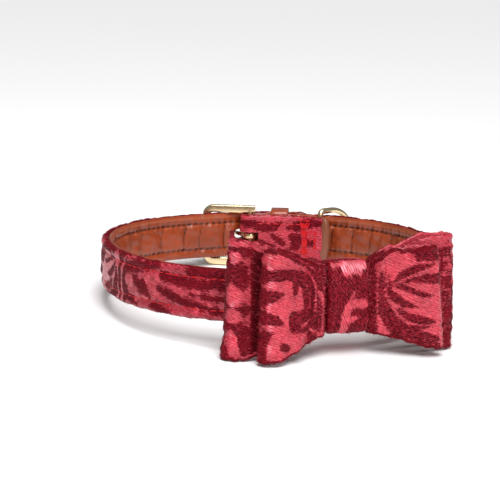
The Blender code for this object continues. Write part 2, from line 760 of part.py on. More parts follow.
def main():
    for old in list(bpy.data.objects):
        bpy.data.objects.remove(old, do_unlink=True)
    brocade = material("brocade", (0.42, 0.03, 0.06), 0.55)
    leather = material("leather", (0.33, 0.11, 0.04), 0.4)
    gold = material("gold", (0.85, 0.62, 0.32), 0.22, 1.0)
    collar = bpy.data.objects.new("collar", None)
    bpy.context.scene.collection.objects.link(collar)
    collar.rotation_euler = (-TILT, 0.0, 0.0)
    make_strap(collar, brocade, leather)
    make_frame(collar, gold)
    make_prong(collar, gold)
    make_keeper(collar, leather)
    make_lead_ring(collar, gold)
    front_waist = WAIST_HALF_HEIGHT - WAIST_ROUNDING
    make_bow_loop("bow_rear", REAR_WINGS, "rear", WAIST_HALF_HEIGHT, False, collar, brocade)
    make_bow_loop("bow_front", FRONT_WINGS, "front", front_waist, True, collar, brocade)
    make_knot(collar, brocade)
    settle(collar)


main()
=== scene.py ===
# %% [markdown]
# A dog collar with a bow, in brocade and leather
#
# The collar is a padded strap, covered outside with crimson satin-stitched brocade and lined
# inside with glossy cognac leather. It closes with a gold pin buckle, and a wide bow of two
# brocade loops and a knot sits opposite the buckle. The packed model gives the true places
# and sizes. This file dresses it with finer meshes of the same forms and with procedural
# materials. All sizes below are millimetres in the collar's own frame: X along the bow, Y
# from the bow to the buckle, Z across the strap from its lower edge.

# %% Load the packed model
import math
from collections import namedtuple

import bmesh
import bpy
import numpy as np
from mathutils import Matrix, Quaternion, Vector


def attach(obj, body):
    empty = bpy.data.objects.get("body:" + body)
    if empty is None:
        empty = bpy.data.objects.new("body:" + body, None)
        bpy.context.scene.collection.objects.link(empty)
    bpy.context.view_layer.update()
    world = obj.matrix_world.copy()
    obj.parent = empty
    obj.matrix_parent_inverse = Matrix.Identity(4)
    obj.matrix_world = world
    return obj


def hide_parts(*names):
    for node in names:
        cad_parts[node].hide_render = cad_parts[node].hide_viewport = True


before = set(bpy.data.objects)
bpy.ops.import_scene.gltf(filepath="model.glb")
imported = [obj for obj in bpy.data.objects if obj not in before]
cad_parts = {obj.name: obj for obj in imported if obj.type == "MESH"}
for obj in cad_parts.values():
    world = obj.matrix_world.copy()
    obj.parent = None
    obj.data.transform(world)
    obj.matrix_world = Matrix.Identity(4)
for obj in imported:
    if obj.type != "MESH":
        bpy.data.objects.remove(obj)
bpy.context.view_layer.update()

# %% [markdown]
# The collar lies on a table. The bow is taller than the strap, so the strap climbs towards
# the bow by a small angle. Each piece could be turned as an object, but a finished piece has
# its place in its mesh, so one function carries every point from the collar's own frame to
# the table.

# %% The collar's own frame
MM = 0.001
GAP = 0.34
NECK_FRONT, NECK_DEPTH = 2.9, 140.4
FRAME_WINDOW, FRAME_BAR = 20.6, 3.4
STRAP_WIDTH = 20.0
MIDDLE = STRAP_WIDTH / 2
BOW_DROP = 10.93
TILT = math.atan2(BOW_DROP - (FRAME_WINDOW - STRAP_WIDTH) / 2 - FRAME_BAR,
                  NECK_DEPTH + NECK_FRONT)
COLLAR_AT = np.array([5.563, -67.38, 11.337])


def on_table(points):
    """Points of the collar's own frame, in millimetres, as metres on the table."""
    points = np.asarray(points, float)
    x, y, z = points[..., 0], points[..., 1], points[..., 2]
    cos, sin = math.cos(TILT), math.sin(TILT)
    turned = np.stack([x, cos * y + sin * z, cos * z - sin * y], axis=-1)
    return (turned + COLLAR_AT) * MM


print("strap climbs by", round(math.degrees(TILT), 2), "degrees")

# %% [markdown]
# The camera stands a little to the left of the bow, low, and far away, with a long lens, so
# that the bow shows its face and the lining shows over it. Its axes are given as directions,
# because they say where it looks more plainly than three angles do.

# %% Camera
CAMERA_AT = (-0.18774, -0.61570, 0.17239)
CAMERA_BACK = Vector((-0.26857, -0.93662, 0.22495)).normalized()
CAMERA_RIGHT = Vector((0.96259, -0.26967, 0.02643)).normalized()
camera_data = bpy.data.cameras.new("camera")
camera_data.sensor_width = 36.0
camera_data.lens = 116.44
camera_data.clip_start = 0.02
camera = bpy.data.objects.new("camera", camera_data)
bpy.context.scene.collection.objects.link(camera)
camera_axes = Matrix((CAMERA_RIGHT, CAMERA_BACK.cross(CAMERA_RIGHT).normalized(), CAMERA_BACK))
camera.matrix_world = Matrix.Translation(CAMERA_AT) @ camera_axes.transposed().to_4x4()
bpy.context.scene.camera = camera
print("camera stands", round(Vector(CAMERA_AT).length, 2), "m from the table's middle")

# %% [markdown]
# A material can be built node by node, but shader maths reads best as plain expressions. This
# small class wraps a socket, so that "mask * 0.5 + 1" adds its own Math nodes. Every node
# comes from its one method, which takes the node's kind, its settings and its inputs, by name
# or, as i0, i1, by number.

# %% Shader expressions
class Wire:
    """A socket that can be added, subtracted and multiplied in an expression."""

    tree = None

    def __init__(self, socket):
        self.socket = socket

    @classmethod
    def node(cls, kind, settings=None, output=0, **inputs):
        made = cls.tree.nodes.new(kind)
        for key, value in (settings or {}).items():
            setattr(made, key, value)
        for key, value in inputs.items():
            numbered = key[0] == "i" and key[1:].isdigit()
            socket = made.inputs[int(key[1:]) if numbered else key.replace("_", " ")]
            if isinstance(value, Wire):
                cls.tree.links.new(value.socket, socket)
            else:
                socket.default_value = value
        return cls(made.outputs[output])

    def maths(self, operation, other=0.0):
        return Wire.node("ShaderNodeMath", {"operation": operation}, i0=self, i1=other)

    def __add__(self, other):
        return self.maths("ADD", other)

    def __sub__(self, other):
        return self.maths("SUBTRACT", other)

    def __mul__(self, other):
        return self.maths("MULTIPLY", other)

    def __rsub__(self, other):
        return Wire.node("ShaderNodeMath", {"operation": "SUBTRACT"}, i0=other, i1=self)

    __radd__ = __add__
    __rmul__ = __mul__

    def step(self, low, high):
        """A soft step from 0 at low to 1 at high."""
        return Wire.node("ShaderNodeMapRange", {"interpolation_type": "SMOOTHSTEP"},
                         Value=self, From_Min=low, From_Max=high)


print("reflected operators:", [key for key in vars(Wire) if key.startswith("__r")])

# %% [markdown]
# The nodes that are used again and again get short names of their own: mixed and darkened
# colours, noise, stretched places, bumps, and the start of every material.

# %% Shader helpers
def mix(share, first, second):
    """Mixes two colours, each a Wire or four numbers."""
    return Wire.node("ShaderNodeMix", {"data_type": "RGBA"}, 2, i0=share, i6=first, i7=second)


def shade(colour, factor):
    """A colour made lighter or darker; the factor may change over the surface."""
    plain = colour if isinstance(colour, Wire) else colour[:3]
    return Wire.node("ShaderNodeVectorMath", {"operation": "SCALE"}, i0=plain, Scale=factor)


def noise(vector, scale, detail=2.0, roughness=0.5):
    return Wire.node("ShaderNodeTexNoise", {"noise_dimensions": "3D"}, Vector=vector,
                     Scale=scale, Detail=detail, Roughness=roughness)


def stretch(vector, along, across, third=1.0):
    return Wire.node("ShaderNodeVectorMath", {"operation": "MULTIPLY"}, i0=vector,
                     i1=(along, across, third))


def bump(height, distance, strength=1.0):
    return Wire.node("ShaderNodeBump", Height=height, Distance=distance, Strength=strength)


def object_place():
    return Wire.node("ShaderNodeTexCoord", output=3)


def stored(attribute):
    """A value that the mesh keeps at each of its points."""
    return Wire.node("ShaderNodeAttribute", {"attribute_name": attribute}, output=2)


def begin(name, **constants):
    """A new material, with the shader values that stay the same all over it."""
    made = bpy.data.materials.new(name)
    made.use_nodes = True
    Wire.tree = made.node_tree
    for key, value in constants.items():
        shader_socket(made, key).default_value = value
    return made


def shader_socket(made, key):
    return made.node_tree.nodes["Principled BSDF"].inputs[key.replace("_", " ")]


def feed(made, **wires):
    """Links wires to the shader of a material, which is then finished."""
    for key, wire in wires.items():
        made.node_tree.links.new(wire.socket, shader_socket(made, key))
    print(made.name, "has", len(made.node_tree.nodes), "nodes")
    return made


def rgb(red, green, blue):
    """A colour as screens give it, from 0 to 255, as the shader's linear values."""
    linear = [(v / 255 / 12.92) if v <= 10 else ((v / 255 + 0.055) / 1.055) ** 2.4
              for v in (red, green, blue)]
    return (*linear, 1.0)


print("crimson in linear values:", [round(value, 3) for value in rgb(180, 38, 55)])

# %% [markdown]
# Four helpers serve all cloth: a curve through a few named values, a soft step, a soft hump,
# and lumps, a gentle unevenness made of a few crossing waves. A noise texture would do for
# looks alone, but these waves can also move the cloth, and come out the same every time.

# %% Curves and lumps
def smooth(places, values):
    """A curve through the given values that never overshoots, for arrays of places."""
    places = np.asarray(places, float)
    values = np.asarray(values, float)
    steps = np.diff(places)
    slopes = np.diff(values) / steps
    tangents = np.zeros(len(places))
    for i in range(1, len(places) - 1):
        if slopes[i - 1] * slopes[i] > 0:
            weight = steps[i - 1] + steps[i]
            tangents[i] = 3 * weight / ((steps[i] + weight) / slopes[i - 1] +
                                        (steps[i - 1] + weight) / slopes[i])

    def at(place):
        place = np.asarray(place, float)
        i = np.clip(np.searchsorted(places, place) - 1, 0, len(steps) - 1)
        t = np.clip((place - places[i]) / steps[i], 0.0, 1.0)
        rise = values[i + 1] - values[i]
        a, b = tangents[i] * steps[i], tangents[i + 1] * steps[i]
        return values[i] + t * (a + t * (3 * rise - 2 * a - b + t * (a + b - 2 * rise)))

    return at


def ease(t):
    """A soft step from 0 at 0 to 1 at 1."""
    t = np.clip(t, 0.0, 1.0)
    return t * t * (3 - 2 * t)


def bell(t):
    """A soft hump: 1 at 0, and nearly nothing past 2 on either side."""
    return np.exp(-t ** 2)


def lumps(u, v, size, seed, waves=7):
    """Unevenness between about -1 and 1, with bumps about size millimetres apart."""
    dice = np.random.default_rng(seed)
    total = np.zeros(np.broadcast(u, v).shape)
    for _ in range(waves):
        angle, phase = dice.uniform(0, 2 * np.pi, 2)
        length = size * dice.uniform(0.7, 1.5)
        total += np.sin((u * np.cos(angle) + v * np.sin(angle)) * 2 * np.pi / length + phase)
    return total / math.sqrt(waves)


print("lumps along a thread:", np.round(lumps(np.arange(5.0), 0.0, 4, 1), 2))

# %% [markdown]
# The brocade's pattern is a traditional leaf scroll: dark maroon leaves, commas and arcs on
# a crimson ground. Noise alone would give spots, not leaves, and a painted texture would
# need a file of its own. So each leaf is charted as a stroke, a line of round points
# (across, up, half-width) in millimetres on the cloth. The distance to the nearest stroke is
# stored on the mesh, and the material draws a crisp, slightly ragged edge from it.

# %% Distance to a leaf
def distance_to(strokes, u, v):
    """How far each point lies outside the nearest stroke; negative inside."""
    nearest = np.full(np.broadcast(u, v).shape, 99.0)
    for stroke in strokes:
        points = stroke if len(stroke) > 1 else stroke * 2
        for (au, av, ar), (bu, bv, br) in zip(points, points[1:]):
            du, dv = bu - au, bv - av
            length = max(du * du + dv * dv, 1e-9)
            t = np.clip(((u - au) * du + (v - av) * dv) / length, 0.0, 1.0)
            reach = np.hypot(u - au - t * du, v - av - t * dv) - (ar + (br - ar) * t)
            nearest = np.minimum(nearest, reach)
    return nearest


def charted(dark, light, u, v):
    """The leaves of one chart, with its light strokes left out of them."""
    return np.maximum(distance_to(dark, u, v), -distance_to(light, u, v))


print("a dot of radius 1, seen from 3 away:", distance_to([[(0, 0, 1)]], 3.0, 0.0))

# %% [markdown]
# The charts below follow the real cloth wherever a piece shows its face: the two wings of
# the front loop, the knot, the folds of the rear loop beside them, the folded-back end and
# the stretch of strap to the left of the bow. A dark chart lists leaves, and a light one the
# crimson strokes within them. The knot is the other way round, because it is nearly all leaf.

# %% The leaf scrolls
LEFT_WING_DARK = [
    [(-38, 10.6, 2.2), (-31, 11.1, 2.3), (-25, 10.9, 2.1), (-20, 9.8, 2.4), (-16.6, 6.8, 2.8),
     (-15.0, 1.5, 3.2), (-14.4, -4, 3.3), (-13.6, -9, 2.6), (-14.0, -15, 1.8)],
    [(-21.8, 8.5, 1.4), (-21.7, 4.2, 1.3)],
    [(-31, 20.8, 0.4), (-26, 18.9, 1.3), (-20, 16.2, 1.9), (-15, 13.4, 2.6), (-11.4, 10, 3.0),
     (-10.2, 5.6, 1.8)],
    [(-40, 2.4, 3.2), (-34, 2.8, 2.8), (-30, 3.6, 2.0), (-26.4, 4.0, 0.4)],
    [(-36.5, -3.6, 1.3), (-33, -4.3, 2.1), (-30, -5.4, 2.0), (-27, -6.9, 0.7)],
    [(-30.6, -9.9, 0.5), (-32.6, -10.6, 1.7), (-35, -13.5, 2.3), (-35.6, -19.5, 2.3)],
    [(-22.1, -5.0, 2.4), (-21.4, -8.2, 2.9), (-18, -9.3, 2.2), (-14, -9, 2)],
    [(-18.5, -4.9, 2.2), (-15.5, -6.0, 1.9)],
    [(-26.5, -15.4, 1.6), (-25.0, -16.3, 1.5)],
    [(-10.6, 4, 1.5), (-10.6, -4, 1.6), (-10.4, -11, 1.4)],
    [(-35.4, -21, 0.8), (-28, -20.9, 0.5), (-22, -19.2, 0.4)],
]
LEFT_WING_LIGHT = [
    [(-18.8, -9.0, 0.2), (-17.2, -8.0, 0.6), (-15.4, -6.8, 0.2)],
    [(-15.2, -10.2, 0.2), (-13.0, -11.6, 0.6), (-11.6, -11.8, 0.2)],
    [(-17.2, 6.8, 0.1), (-15.4, 2.5, 0.2), (-14.9, -2.5, 0.1)],
    [(-24, 14.4, 0.15), (-18.6, 12.9, 0.35), (-14.8, 10.2, 0.15)],
    [(-22, 17.0, 0.1), (-17, 14.3, 0.25), (-13, 11.0, 0.1)],
    [(-11.6, 3.4, 0.1), (-10.4, 2.2, 0.75), (-9.2, 0.2, 0.9), (-9.0, -2.8, 0.5)],
    [(-9.4, -5.4, 0.4), (-8.6, -8.4, 0.9), (-9.4, -11.6, 0.7)],
    [(-12.6, 5.6, 0.1), (-12.2, 1.5, 0.2), (-12.4, -4.5, 0.1)],
]
RIGHT_WING_DARK = [
    [(14.6, 17.4, 0.5), (18, 18.3, 0.8), (22, 18.4, 1.1), (25.8, 17.2, 2.9), (30, 16.8, 3.0),
     (33.6, 17, 2.8)],
    [(24.7, 15.8, 1.3), (25.2, 14.6, 0.9)],
    [(17.4, 6.2, 0.4), (20.0, 8.4, 1.3), (24, 11.2, 1.5), (27.5, 12.2, 1.1), (31, 12.8, 0.3)],
    [(19.6, 5.6, 0.3), (24, 7.0, 1.1), (28.5, 7.6, 1.9), (35, 7.4, 2.1)],
    [(17.0, 4.4, 0.8), (20, 4.3, 1.1), (23.6, 2.7, 1.1), (27, 1.5, 1.1), (30.6, 1.3, 0.3)],
    [(15.4, 2.6, 0.6), (17.4, 0.2, 1.7), (20.6, -2.2, 1.6), (25.2, -3.3, 0.4)],
    [(19.0, -4.8, 0.8), (22.5, -7.2, 1.6), (26, -8.0, 1.8), (29, -8.4, 1.3), (32.4, -9.0, 0.3)],
    [(13.6, 1, 1.0), (13.8, -3, 1.9), (16, -8, 3.2), (19, -12, 3.6), (24, -13.6, 2.3),
     (29, -14.2, 1.6), (34.6, -15.6, 0.8)],
    [(21.6, -10, 1.0), (26, -10.9, 0.8), (30.4, -10.6, 0.3)],
    [(22, -16.6, 0.9), (28.6, -16.4, 1.0), (34, -17.4, 0.5)],
    [(9.4, 14, 1.0), (10.2, 6, 1.3), (10.2, -2, 1.4), (10.6, -9, 1.1), (11.0, -13, 0.9)],
    [(12.8, 9.6, 0.3), (12.6, 7, 0.9), (12.7, 0, 1.1), (12.6, -6, 0.9)],
    [(14.4, 9.4, 0.2), (14.3, 6.4, 0.9), (14.4, 2, 0.9), (15.0, -0.6, 0.5)],
    [(15.7, 8.0, 0.2), (15.7, 6, 0.6), (15.7, 3, 0.6)],
    [(34.4, 13, 0.9), (35.2, 4, 0.8), (36, -4, 0.6), (37, -10, 0.5)],
]
RIGHT_WING_LIGHT = [
    [(15.1, -0.8, 0.15), (17, -4, 0.35), (19.6, -7.6, 0.35), (22.4, -9.8, 0.35),
     (25.8, -10, 0.1)],
    [(13.2, 14.2, 1.5), (16.4, 14.4, 2.5), (20.9, 14.4, 2.3)],
    [(14.5, 9.6, 0.1), (14.4, 7.2, 0.25), (14.5, 5.6, 0.1)],
    [(14.3, 3.8, 0.1), (14.6, 1, 0.25), (15.4, -1, 0.35)],
    [(16.6, 6.0, 0.2), (17.2, 4.2, 0.35), (16.9, 3.0, 0.3)],
    [(11.5, 9, 0.1), (11.5, 3, 0.25), (11.6, -4, 0.1)],
    [(12.6, -7.6, 0.4), (13.2, -11, 1.0), (14.8, -13.8, 1.5)],
    [(26.5, -11.7, 0.1), (30, -11.9, 0.6), (33, -12.6, 0.3)],
    [(24.6, -17.6, 0.1), (29, -17.9, 0.4), (33, -18.6, 0.3)],
    [(33.6, -12.5, 0.9), (34.8, -15.2, 0.8), (35.4, -17.4, 0.5)],
]
KNOT_LIGHT = [
    [(-1.5, 11.0, 1.2), (1.4, 11.0, 1.3), (4.0, 11.2, 1.5), (6.1, 11.6, 1.3)],
    [(-1.3, 10.2, 0.8), (-0.9, 8.8, 0.5), (-0.5, 7.8, 0.2)],
    [(0.7, 9.8, 0.6), (1.1, 8.3, 0.35), (1.3, 7.0, 0.1)],
    [(2.8, 9.9, 0.8), (4.4, 9.4, 0.6), (4.9, 8.3, 0.25)],
    [(6.8, 10.4, 0.4)],
    [(-7.9, 11.4, 0.3), (-5.8, 11.0, 0.6), (-3.6, 11.4, 0.4)],
    [(-6.4, 10.0, 0.3)],
    [(-1.5, -13.4, 1.8), (-1.2, -9.6, 1.5), (-0.4, -6.2, 1.6), (0.4, -3.4, 1.5), (1.6, -0.6, 0.7),
     (2.6, 2.4, 0.4)],
    [(1.4, -2.4, 1.5), (4.0, -2.1, 1.7), (6.2, -2.2, 1.7), (7.8, -2.4, 1.2)],
    [(1.0, -8.1, 1.0), (2.8, -7.4, 0.8), (4.4, -7.1, 0.2)],
    [(8.0, -8.2, 0.3), (8.1, -10.6, 0.3)],
]
REAR_DARK = [
    [(-48, 19.6, 1.2), (-41, 19.0, 0.9), (-36, 17.6, 1.2)],
    [(-45.2, 13.0, 0.9), (-43, 11.6, 2.6), (-41.6, 9.0, 3.2), (-40.4, 8.2, 3.0)],
    [(-39.6, 11.6, 1.2), (-38.6, 8.6, 1.0)],
    [(-47, -2.0, 0.5), (-42, -2.2, 0.5), (-38.6, -3.0, 1.3)],
    [(-48, -8.6, 1.2), (-44.6, -9.0, 0.9), (-41.4, -9.6, 2.0), (-39.0, -12.0, 2.6),
     (-38.6, -16, 2.4), (-38.8, -18.4, 1.2)],
    [(-47.4, -17.6, 1.8), (-46.0, -20.4, 1.6), (-43.0, -21.2, 0.7)],
    [(-42.6, 14.6, 0.5), (-40.6, 13.8, 0.4)],
    [(36.6, 16.2, 0.6), (38.4, 13.4, 1.2), (37.4, 9.2, 0.9)],
    [(40.8, 19, 1.3), (40.6, 16, 0.9), (41.6, 10, 0.9), (41.2, 4, 1.3)],
    [(38.4, 6.2, 0.6), (39.2, 3.4, 1.4), (38.8, -2.4, 0.9)],
    [(41.2, -2.6, 1.0), (41.6, -7.4, 1.2), (42, -13, 1.2), (42.4, -19, 1.2)],
    [(39.9, -7.6, 0.5), (40.2, -12, 0.8), (39.4, -17, 1.2)],
]
PLY_DARK = [
    [(20.8, 10.6, 1.4), (23.4, 9.2, 2.6), (22.8, 6.4, 2.2), (20.6, 5.2, 0.8)],
    [(10.6, 10.8, 0.5), (13.4, 9.0, 1.2), (16.6, 7.2, 1.0)],
    [(-6, 8, 2.6), (0, 8.2, 2.4), (2.8, 8.2, 1.0)],
    [(0, 16, 1.6), (6, 14.4, 1.8), (11.6, 14.6, 1.6), (15, 16.4, 0.6)],
    [(19, 14.6, 0.8), (24, 15.2, 2.0), (29, 16.8, 1.8), (36, 17.2, 1.2)],
    [(29.4, 8.4, 1.3), (32, 8.2, 1.3), (33.6, 9.4, 0.5)],
    [(15, 2.4, 1.0), (20, 1.6, 1.6), (27, 0.6, 1.3), (34, 0.4, 0.6)],
    [(4.6, 8.0, 0.8), (8, 6.4, 0.9), (11.5, 6.4, 0.3)],
]
STRAP_DARK = [
    [(291, 11.4, 1.2), (286.5, 9.2, 2.4), (284, 6.6, 1.2)],
    [(277, 9.8, 0.6), (272, 8.6, 1.0), (266, 6.6, 1.0), (258, 5.0, 0.8), (250, 3.4, 0.8)],
    [(276, 15.2, 1.2), (268, 14.0, 1.3), (260, 13.4, 1.4), (250, 13.8, 1.5), (240, 12.6, 1.0)],
    [(281, 2.6, 0.7), (277.5, 2.2, 1.5), (273, 1.6, 0.7)],
    [(262, 18.4, 1.6), (250, 18.0, 2.2), (240, 17.6, 1.4)],
    [(262, 9.6, 0.2), (254, 8.8, 0.5), (246, 7.6, 0.4)],
    [(300, 14.2, 1.4), (294, 16.0, 1.8), (286, 17.6, 1.6), (278, 18.8, 0.8)],
    [(300, 6.6, 1.2), (296.4, 3.4, 1.3), (291, 2.2, 0.5)],
]
CHARTS = (LEFT_WING_DARK, LEFT_WING_LIGHT, RIGHT_WING_DARK, RIGHT_WING_LIGHT, KNOT_LIGHT,
          REAR_DARK, PLY_DARK, STRAP_DARK)
print("strokes charted:", sum(map(len, CHARTS)))

# %% [markdown]
# Where the cloth goes on out of sight, the same scrolls repeat. One repeat is the two
# wings' leaves side by side, and it is laid again and again, as on the loom.

# %% The repeat
REPEAT_WIDE, REPEAT_HIGH = 56.0, 40.0
LEFT_SHIFT, RIGHT_SHIFT = 8.5, -10.5


def moved(strokes, across):
    return [[(u + across, v, r) for u, v, r in stroke] for stroke in strokes]


REPEAT_DARK = moved(LEFT_WING_DARK[:9], LEFT_SHIFT) + moved(RIGHT_WING_DARK[:11], RIGHT_SHIFT)
REPEAT_LIGHT = moved(LEFT_WING_LIGHT[:5], LEFT_SHIFT) + moved(RIGHT_WING_LIGHT[:3], RIGHT_SHIFT)


def repeat_motif(u, v):
    """The pattern's distance for any point of a cloth that is out of the charts."""
    u = np.mod(u, REPEAT_WIDE) - REPEAT_WIDE / 2
    v = np.mod(v + REPEAT_HIGH / 2, REPEAT_HIGH) - REPEAT_HIGH / 2
    return np.minimum.reduce([charted(REPEAT_DARK, REPEAT_LIGHT, u - edge, v)
                              for edge in (0.0, -REPEAT_WIDE, REPEAT_WIDE)])


print("one repeat:", REPEAT_WIDE, "by", REPEAT_HIGH, "mm,", len(REPEAT_DARK), "leaves")

# %% [markdown]
# Brocade shows fine satin threads. They lie in one direction on the crimson ground and in
# another on the leaves. Thousands of modelled threads would be too heavy, so a map holds each
# point's place along and across its thread, and stretched noise in that map gives the threads
# their streaks, their ragged ends and their relief. Each point also has a mark of wear and
# painted light. Above 0 the cloth is matted and shaded: duller and darker, with a blurred
# pattern, partly as real wear and partly as painted shade, as in a fold. Below 0 it gets a
# painted highlight, as on a ridge that catches the light.

# %% The brocade material
def brocade(name, ground, leaf_red):
    """Crimson ground, as (shadow, thread, glint, painted highlight), and leaves, as the first
    three.
    """
    made = begin(name, Specular_Tint=(1.0, 0.45, 0.5, 1.0), Specular_IOR_Level=0.14,
                 Coat_Roughness=0.38, Coat_IOR=1.5)
    motif, wear_and_light = stored("motif"), stored("wear_and_light")
    threads = Wire.node("ShaderNodeUVMap", {"uv_map": "threads"})
    twill = Wire.node("ShaderNodeTexWave", {"bands_direction": "Y"},
                      Vector=stretch(threads, 0.12, 1.0), Scale=0.38, Distortion=6.5,
                      Detail=2.0, Detail_Scale=1.2)
    fine = noise(stretch(threads, 0.5, 2.2), 1.0, 2.0, 0.55)
    tuft = noise(stretch(threads, 0.8, 1.1), 1.0, 3.0, 0.65)
    broad = noise(stretch(threads, 0.1, 0.2), 1.0, 2.0, 0.5)
    # Where the mark is above 0 the leaves blur and spread: part wear, part painted shade.
    ragged = (motif * (1 - wear_and_light * 0.85) - wear_and_light * 1.0 + (fine - 0.5) * (wear_and_light * 2.2 + 1.2)
              + (tuft - 0.5) * 1.3)
    leaf = 1 - ragged.step(-0.42, 0.5)
    streak = (twill * 0.26 + fine).step(0.34, 0.94)
    dip = tuft.step(0.6, 0.36)
    # Painted highlight: where the mark is below 0 the threads turn to the pale polished crimson.
    polish_highlight = (wear_and_light * -1.0).step(0.1, 0.9) * streak.step(0.0, 0.8)
    # Painted shade with some real wear: where the mark is above 0 the cloth is darkened and dulled.
    matted_and_shaded = wear_and_light.maths("MAXIMUM")
    crimson = mix(streak, ground[1], ground[2])
    crimson = mix(dip * 0.5, crimson, ground[0])
    crimson = mix(polish_highlight, crimson, ground[3])
    maroon = mix(streak, leaf_red[1], leaf_red[2])
    maroon = mix(dip * 0.85, maroon, leaf_red[0])
    maroon = mix(tuft.step(0.52, 0.72) * 0.35, maroon, ground[1])
    # Matted and shaded leaves turn towards the darkest crimson.
    maroon = mix(wear_and_light * 0.8, maroon, ground[0])
    colour = shade(mix(leaf, crimson, maroon), (broad * 1.1 + 0.45) * (1 - matted_and_shaded * 0.45))
    relief = fine * 0.5 + twill * 0.25 + tuft * 0.8 + leaf * 0.3
    return feed(made, Base_Color=colour, Normal=bump(relief, 0.42 * MM, 1.0),
                Roughness=leaf * 0.25 + streak * -0.08 + 0.42,
                Coat_Weight=(1 - leaf) * (1 - matted_and_shaded) * (streak * 0.6 + 0.3))


# The fourth crimson is the pale colour of the painted highlight.
BROCADE = brocade("brocade",
                  (rgb(128, 6, 24), rgb(180, 38, 55), rgb(216, 80, 96), rgb(234, 148, 162)),
                  (rgb(50, 0, 6), rgb(82, 3, 15), rgb(138, 28, 42)))

# %% [markdown]
# Nearly every piece here is a section carried along a path: cloth, leather, wire and bars. A
# curve with a bevel makes such pieces too, but its section can't change freely on the way,
# and it keeps no values of its own. So each starts as one flat grid, the grid is bent to its
# place, its seams are merged and its open ends are closed. The mesh can keep marks, one value
# for each point.

# %% A section along a path
MERGE_WITHIN = 1e-6


def mesh_of(name, skin, *finishes):
    """The mesh of a bmesh, with its materials; the bmesh is freed."""
    data = bpy.data.meshes.new(name)
    skin.to_mesh(data)
    skin.free()
    for finish in finishes:
        data.materials.append(finish)
    return data


def tube_skin(points, closed=False, **marks):
    """A grid bent to points (stations, round the section, xyz in millimetres)."""
    stations, around = points.shape[:2]
    skin = bmesh.new()
    bmesh.ops.create_grid(skin, x_segments=around,
                          y_segments=stations if closed else stations - 1, size=1.0)
    kept = [(skin.verts.layers.float.new(key), values) for key, values in marks.items()]
    place = on_table(points)
    for index, vert in enumerate(skin.verts):
        row, column = divmod(index, around + 1)
        spot = row % stations, column % around
        vert.co = place[spot]
        for layer, values in kept:
            vert[layer] = values[spot]
    bmesh.ops.remove_doubles(skin, verts=skin.verts, dist=MERGE_WITHIN)
    rims = [edge for edge in skin.edges if edge.is_boundary]
    if rims:
        bmesh.ops.holes_fill(skin, edges=rims, sides=0)
    return skin


def join(skin, other):
    """Adds the faces of another bmesh to a bmesh."""
    data = mesh_of("joined", other)
    skin.from_mesh(data)
    bpy.data.meshes.remove(data)


print("seams merge within", MERGE_WITHIN / MM, "mm")

# %% [markdown]
# Every new piece is finished in the same way: faces outwards, a material, smooth shading
# with sharp edges kept, and a note that it rides with the collar. A piece of cloth is a
# band, which keeps four marks per point: its place on the flat cloth along and across, how
# far it is from a leaf, and its mark of wear and painted light. Its thread map turns on the leaves.

# %% Finished pieces
MARKS = ("cloth_u", "cloth_v", "motif", "wear_and_light")


def finished(name, skin, finish, sharp=50.0, grain=None):
    bmesh.ops.recalc_face_normals(skin, faces=skin.faces)
    data = mesh_of(name, skin, finish)
    if grain:
        thread_map(data, grain)
    data.shade_smooth()
    data.set_sharp_from_angle(angle=math.radians(sharp))
    made = bpy.data.objects.new(name, data)
    bpy.context.scene.collection.objects.link(made)
    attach(made, "root")
    print(name, "has", sum(len(face.vertices) - 2 for face in data.polygons), "triangles")
    return made


def read(items, key, width=1, kind=np.float32):
    """One value, or a row of values, from every item of a mesh's list."""
    values = np.zeros(len(items) * width, kind)
    items.foreach_get(key, values)
    return values.reshape(-1, width) if width > 1 else values


def thread_map(data, grain):
    """The map of places along and across the threads, turned on the leaves."""
    corner = read(data.loops, "vertex_index", kind=np.int32)
    starts = read(data.polygons, "loop_start", kind=np.int32)
    sizes = read(data.polygons, "loop_total", kind=np.int32)
    u, v, motif = [read(data.attributes[key].data, "value")[corner]
                   for key in MARKS[:3]]
    means = np.add.reduceat(motif, starts) / sizes
    angle = np.radians(np.where(np.repeat(means, sizes) < 0, grain[1], grain[0]))
    along = u * np.cos(angle) + v * np.sin(angle)
    across = v * np.cos(angle) - u * np.sin(angle)
    layer = data.uv_layers.new(name="threads")
    layer.data.foreach_set("uv", np.stack([along, across], axis=1).astype(np.float32).ravel())


def band(name, points, flat, motif, finish, wear_and_light, closed=False, grain=(-20.0, 12.0)):
    """A piece of cloth or leather; grain is the threads' angle on the ground and leaves."""
    marks = dict(zip(MARKS, (*flat, np.clip(motif, -2.0, 2.0), wear_and_light)))
    skin = tube_skin(points, closed, **marks)
    return finished(name, skin, finish, 60.0, grain)


print("marks of a band:", *MARKS)

# %% [markdown]
# The neck hole is a soft oval, a super-ellipse whose two ends differ a little. Places on the
# strap are given by their distance along that oval from the buckle's heel bar, and by their
# depth inside it, exactly as in the model, so that every piece can be placed along the strap
# without knowing where it bends.

# %% The neck
HEEL_X, HEEL_DEPTH = 4.0, 4.8
OVAL_CENTRE, RIGHT_HALF, LEFT_HALF = -9.5, 74.2, 64.4
OVAL_POWER = 2 / 2.15
BUCKLE_DRIFT = 1.9


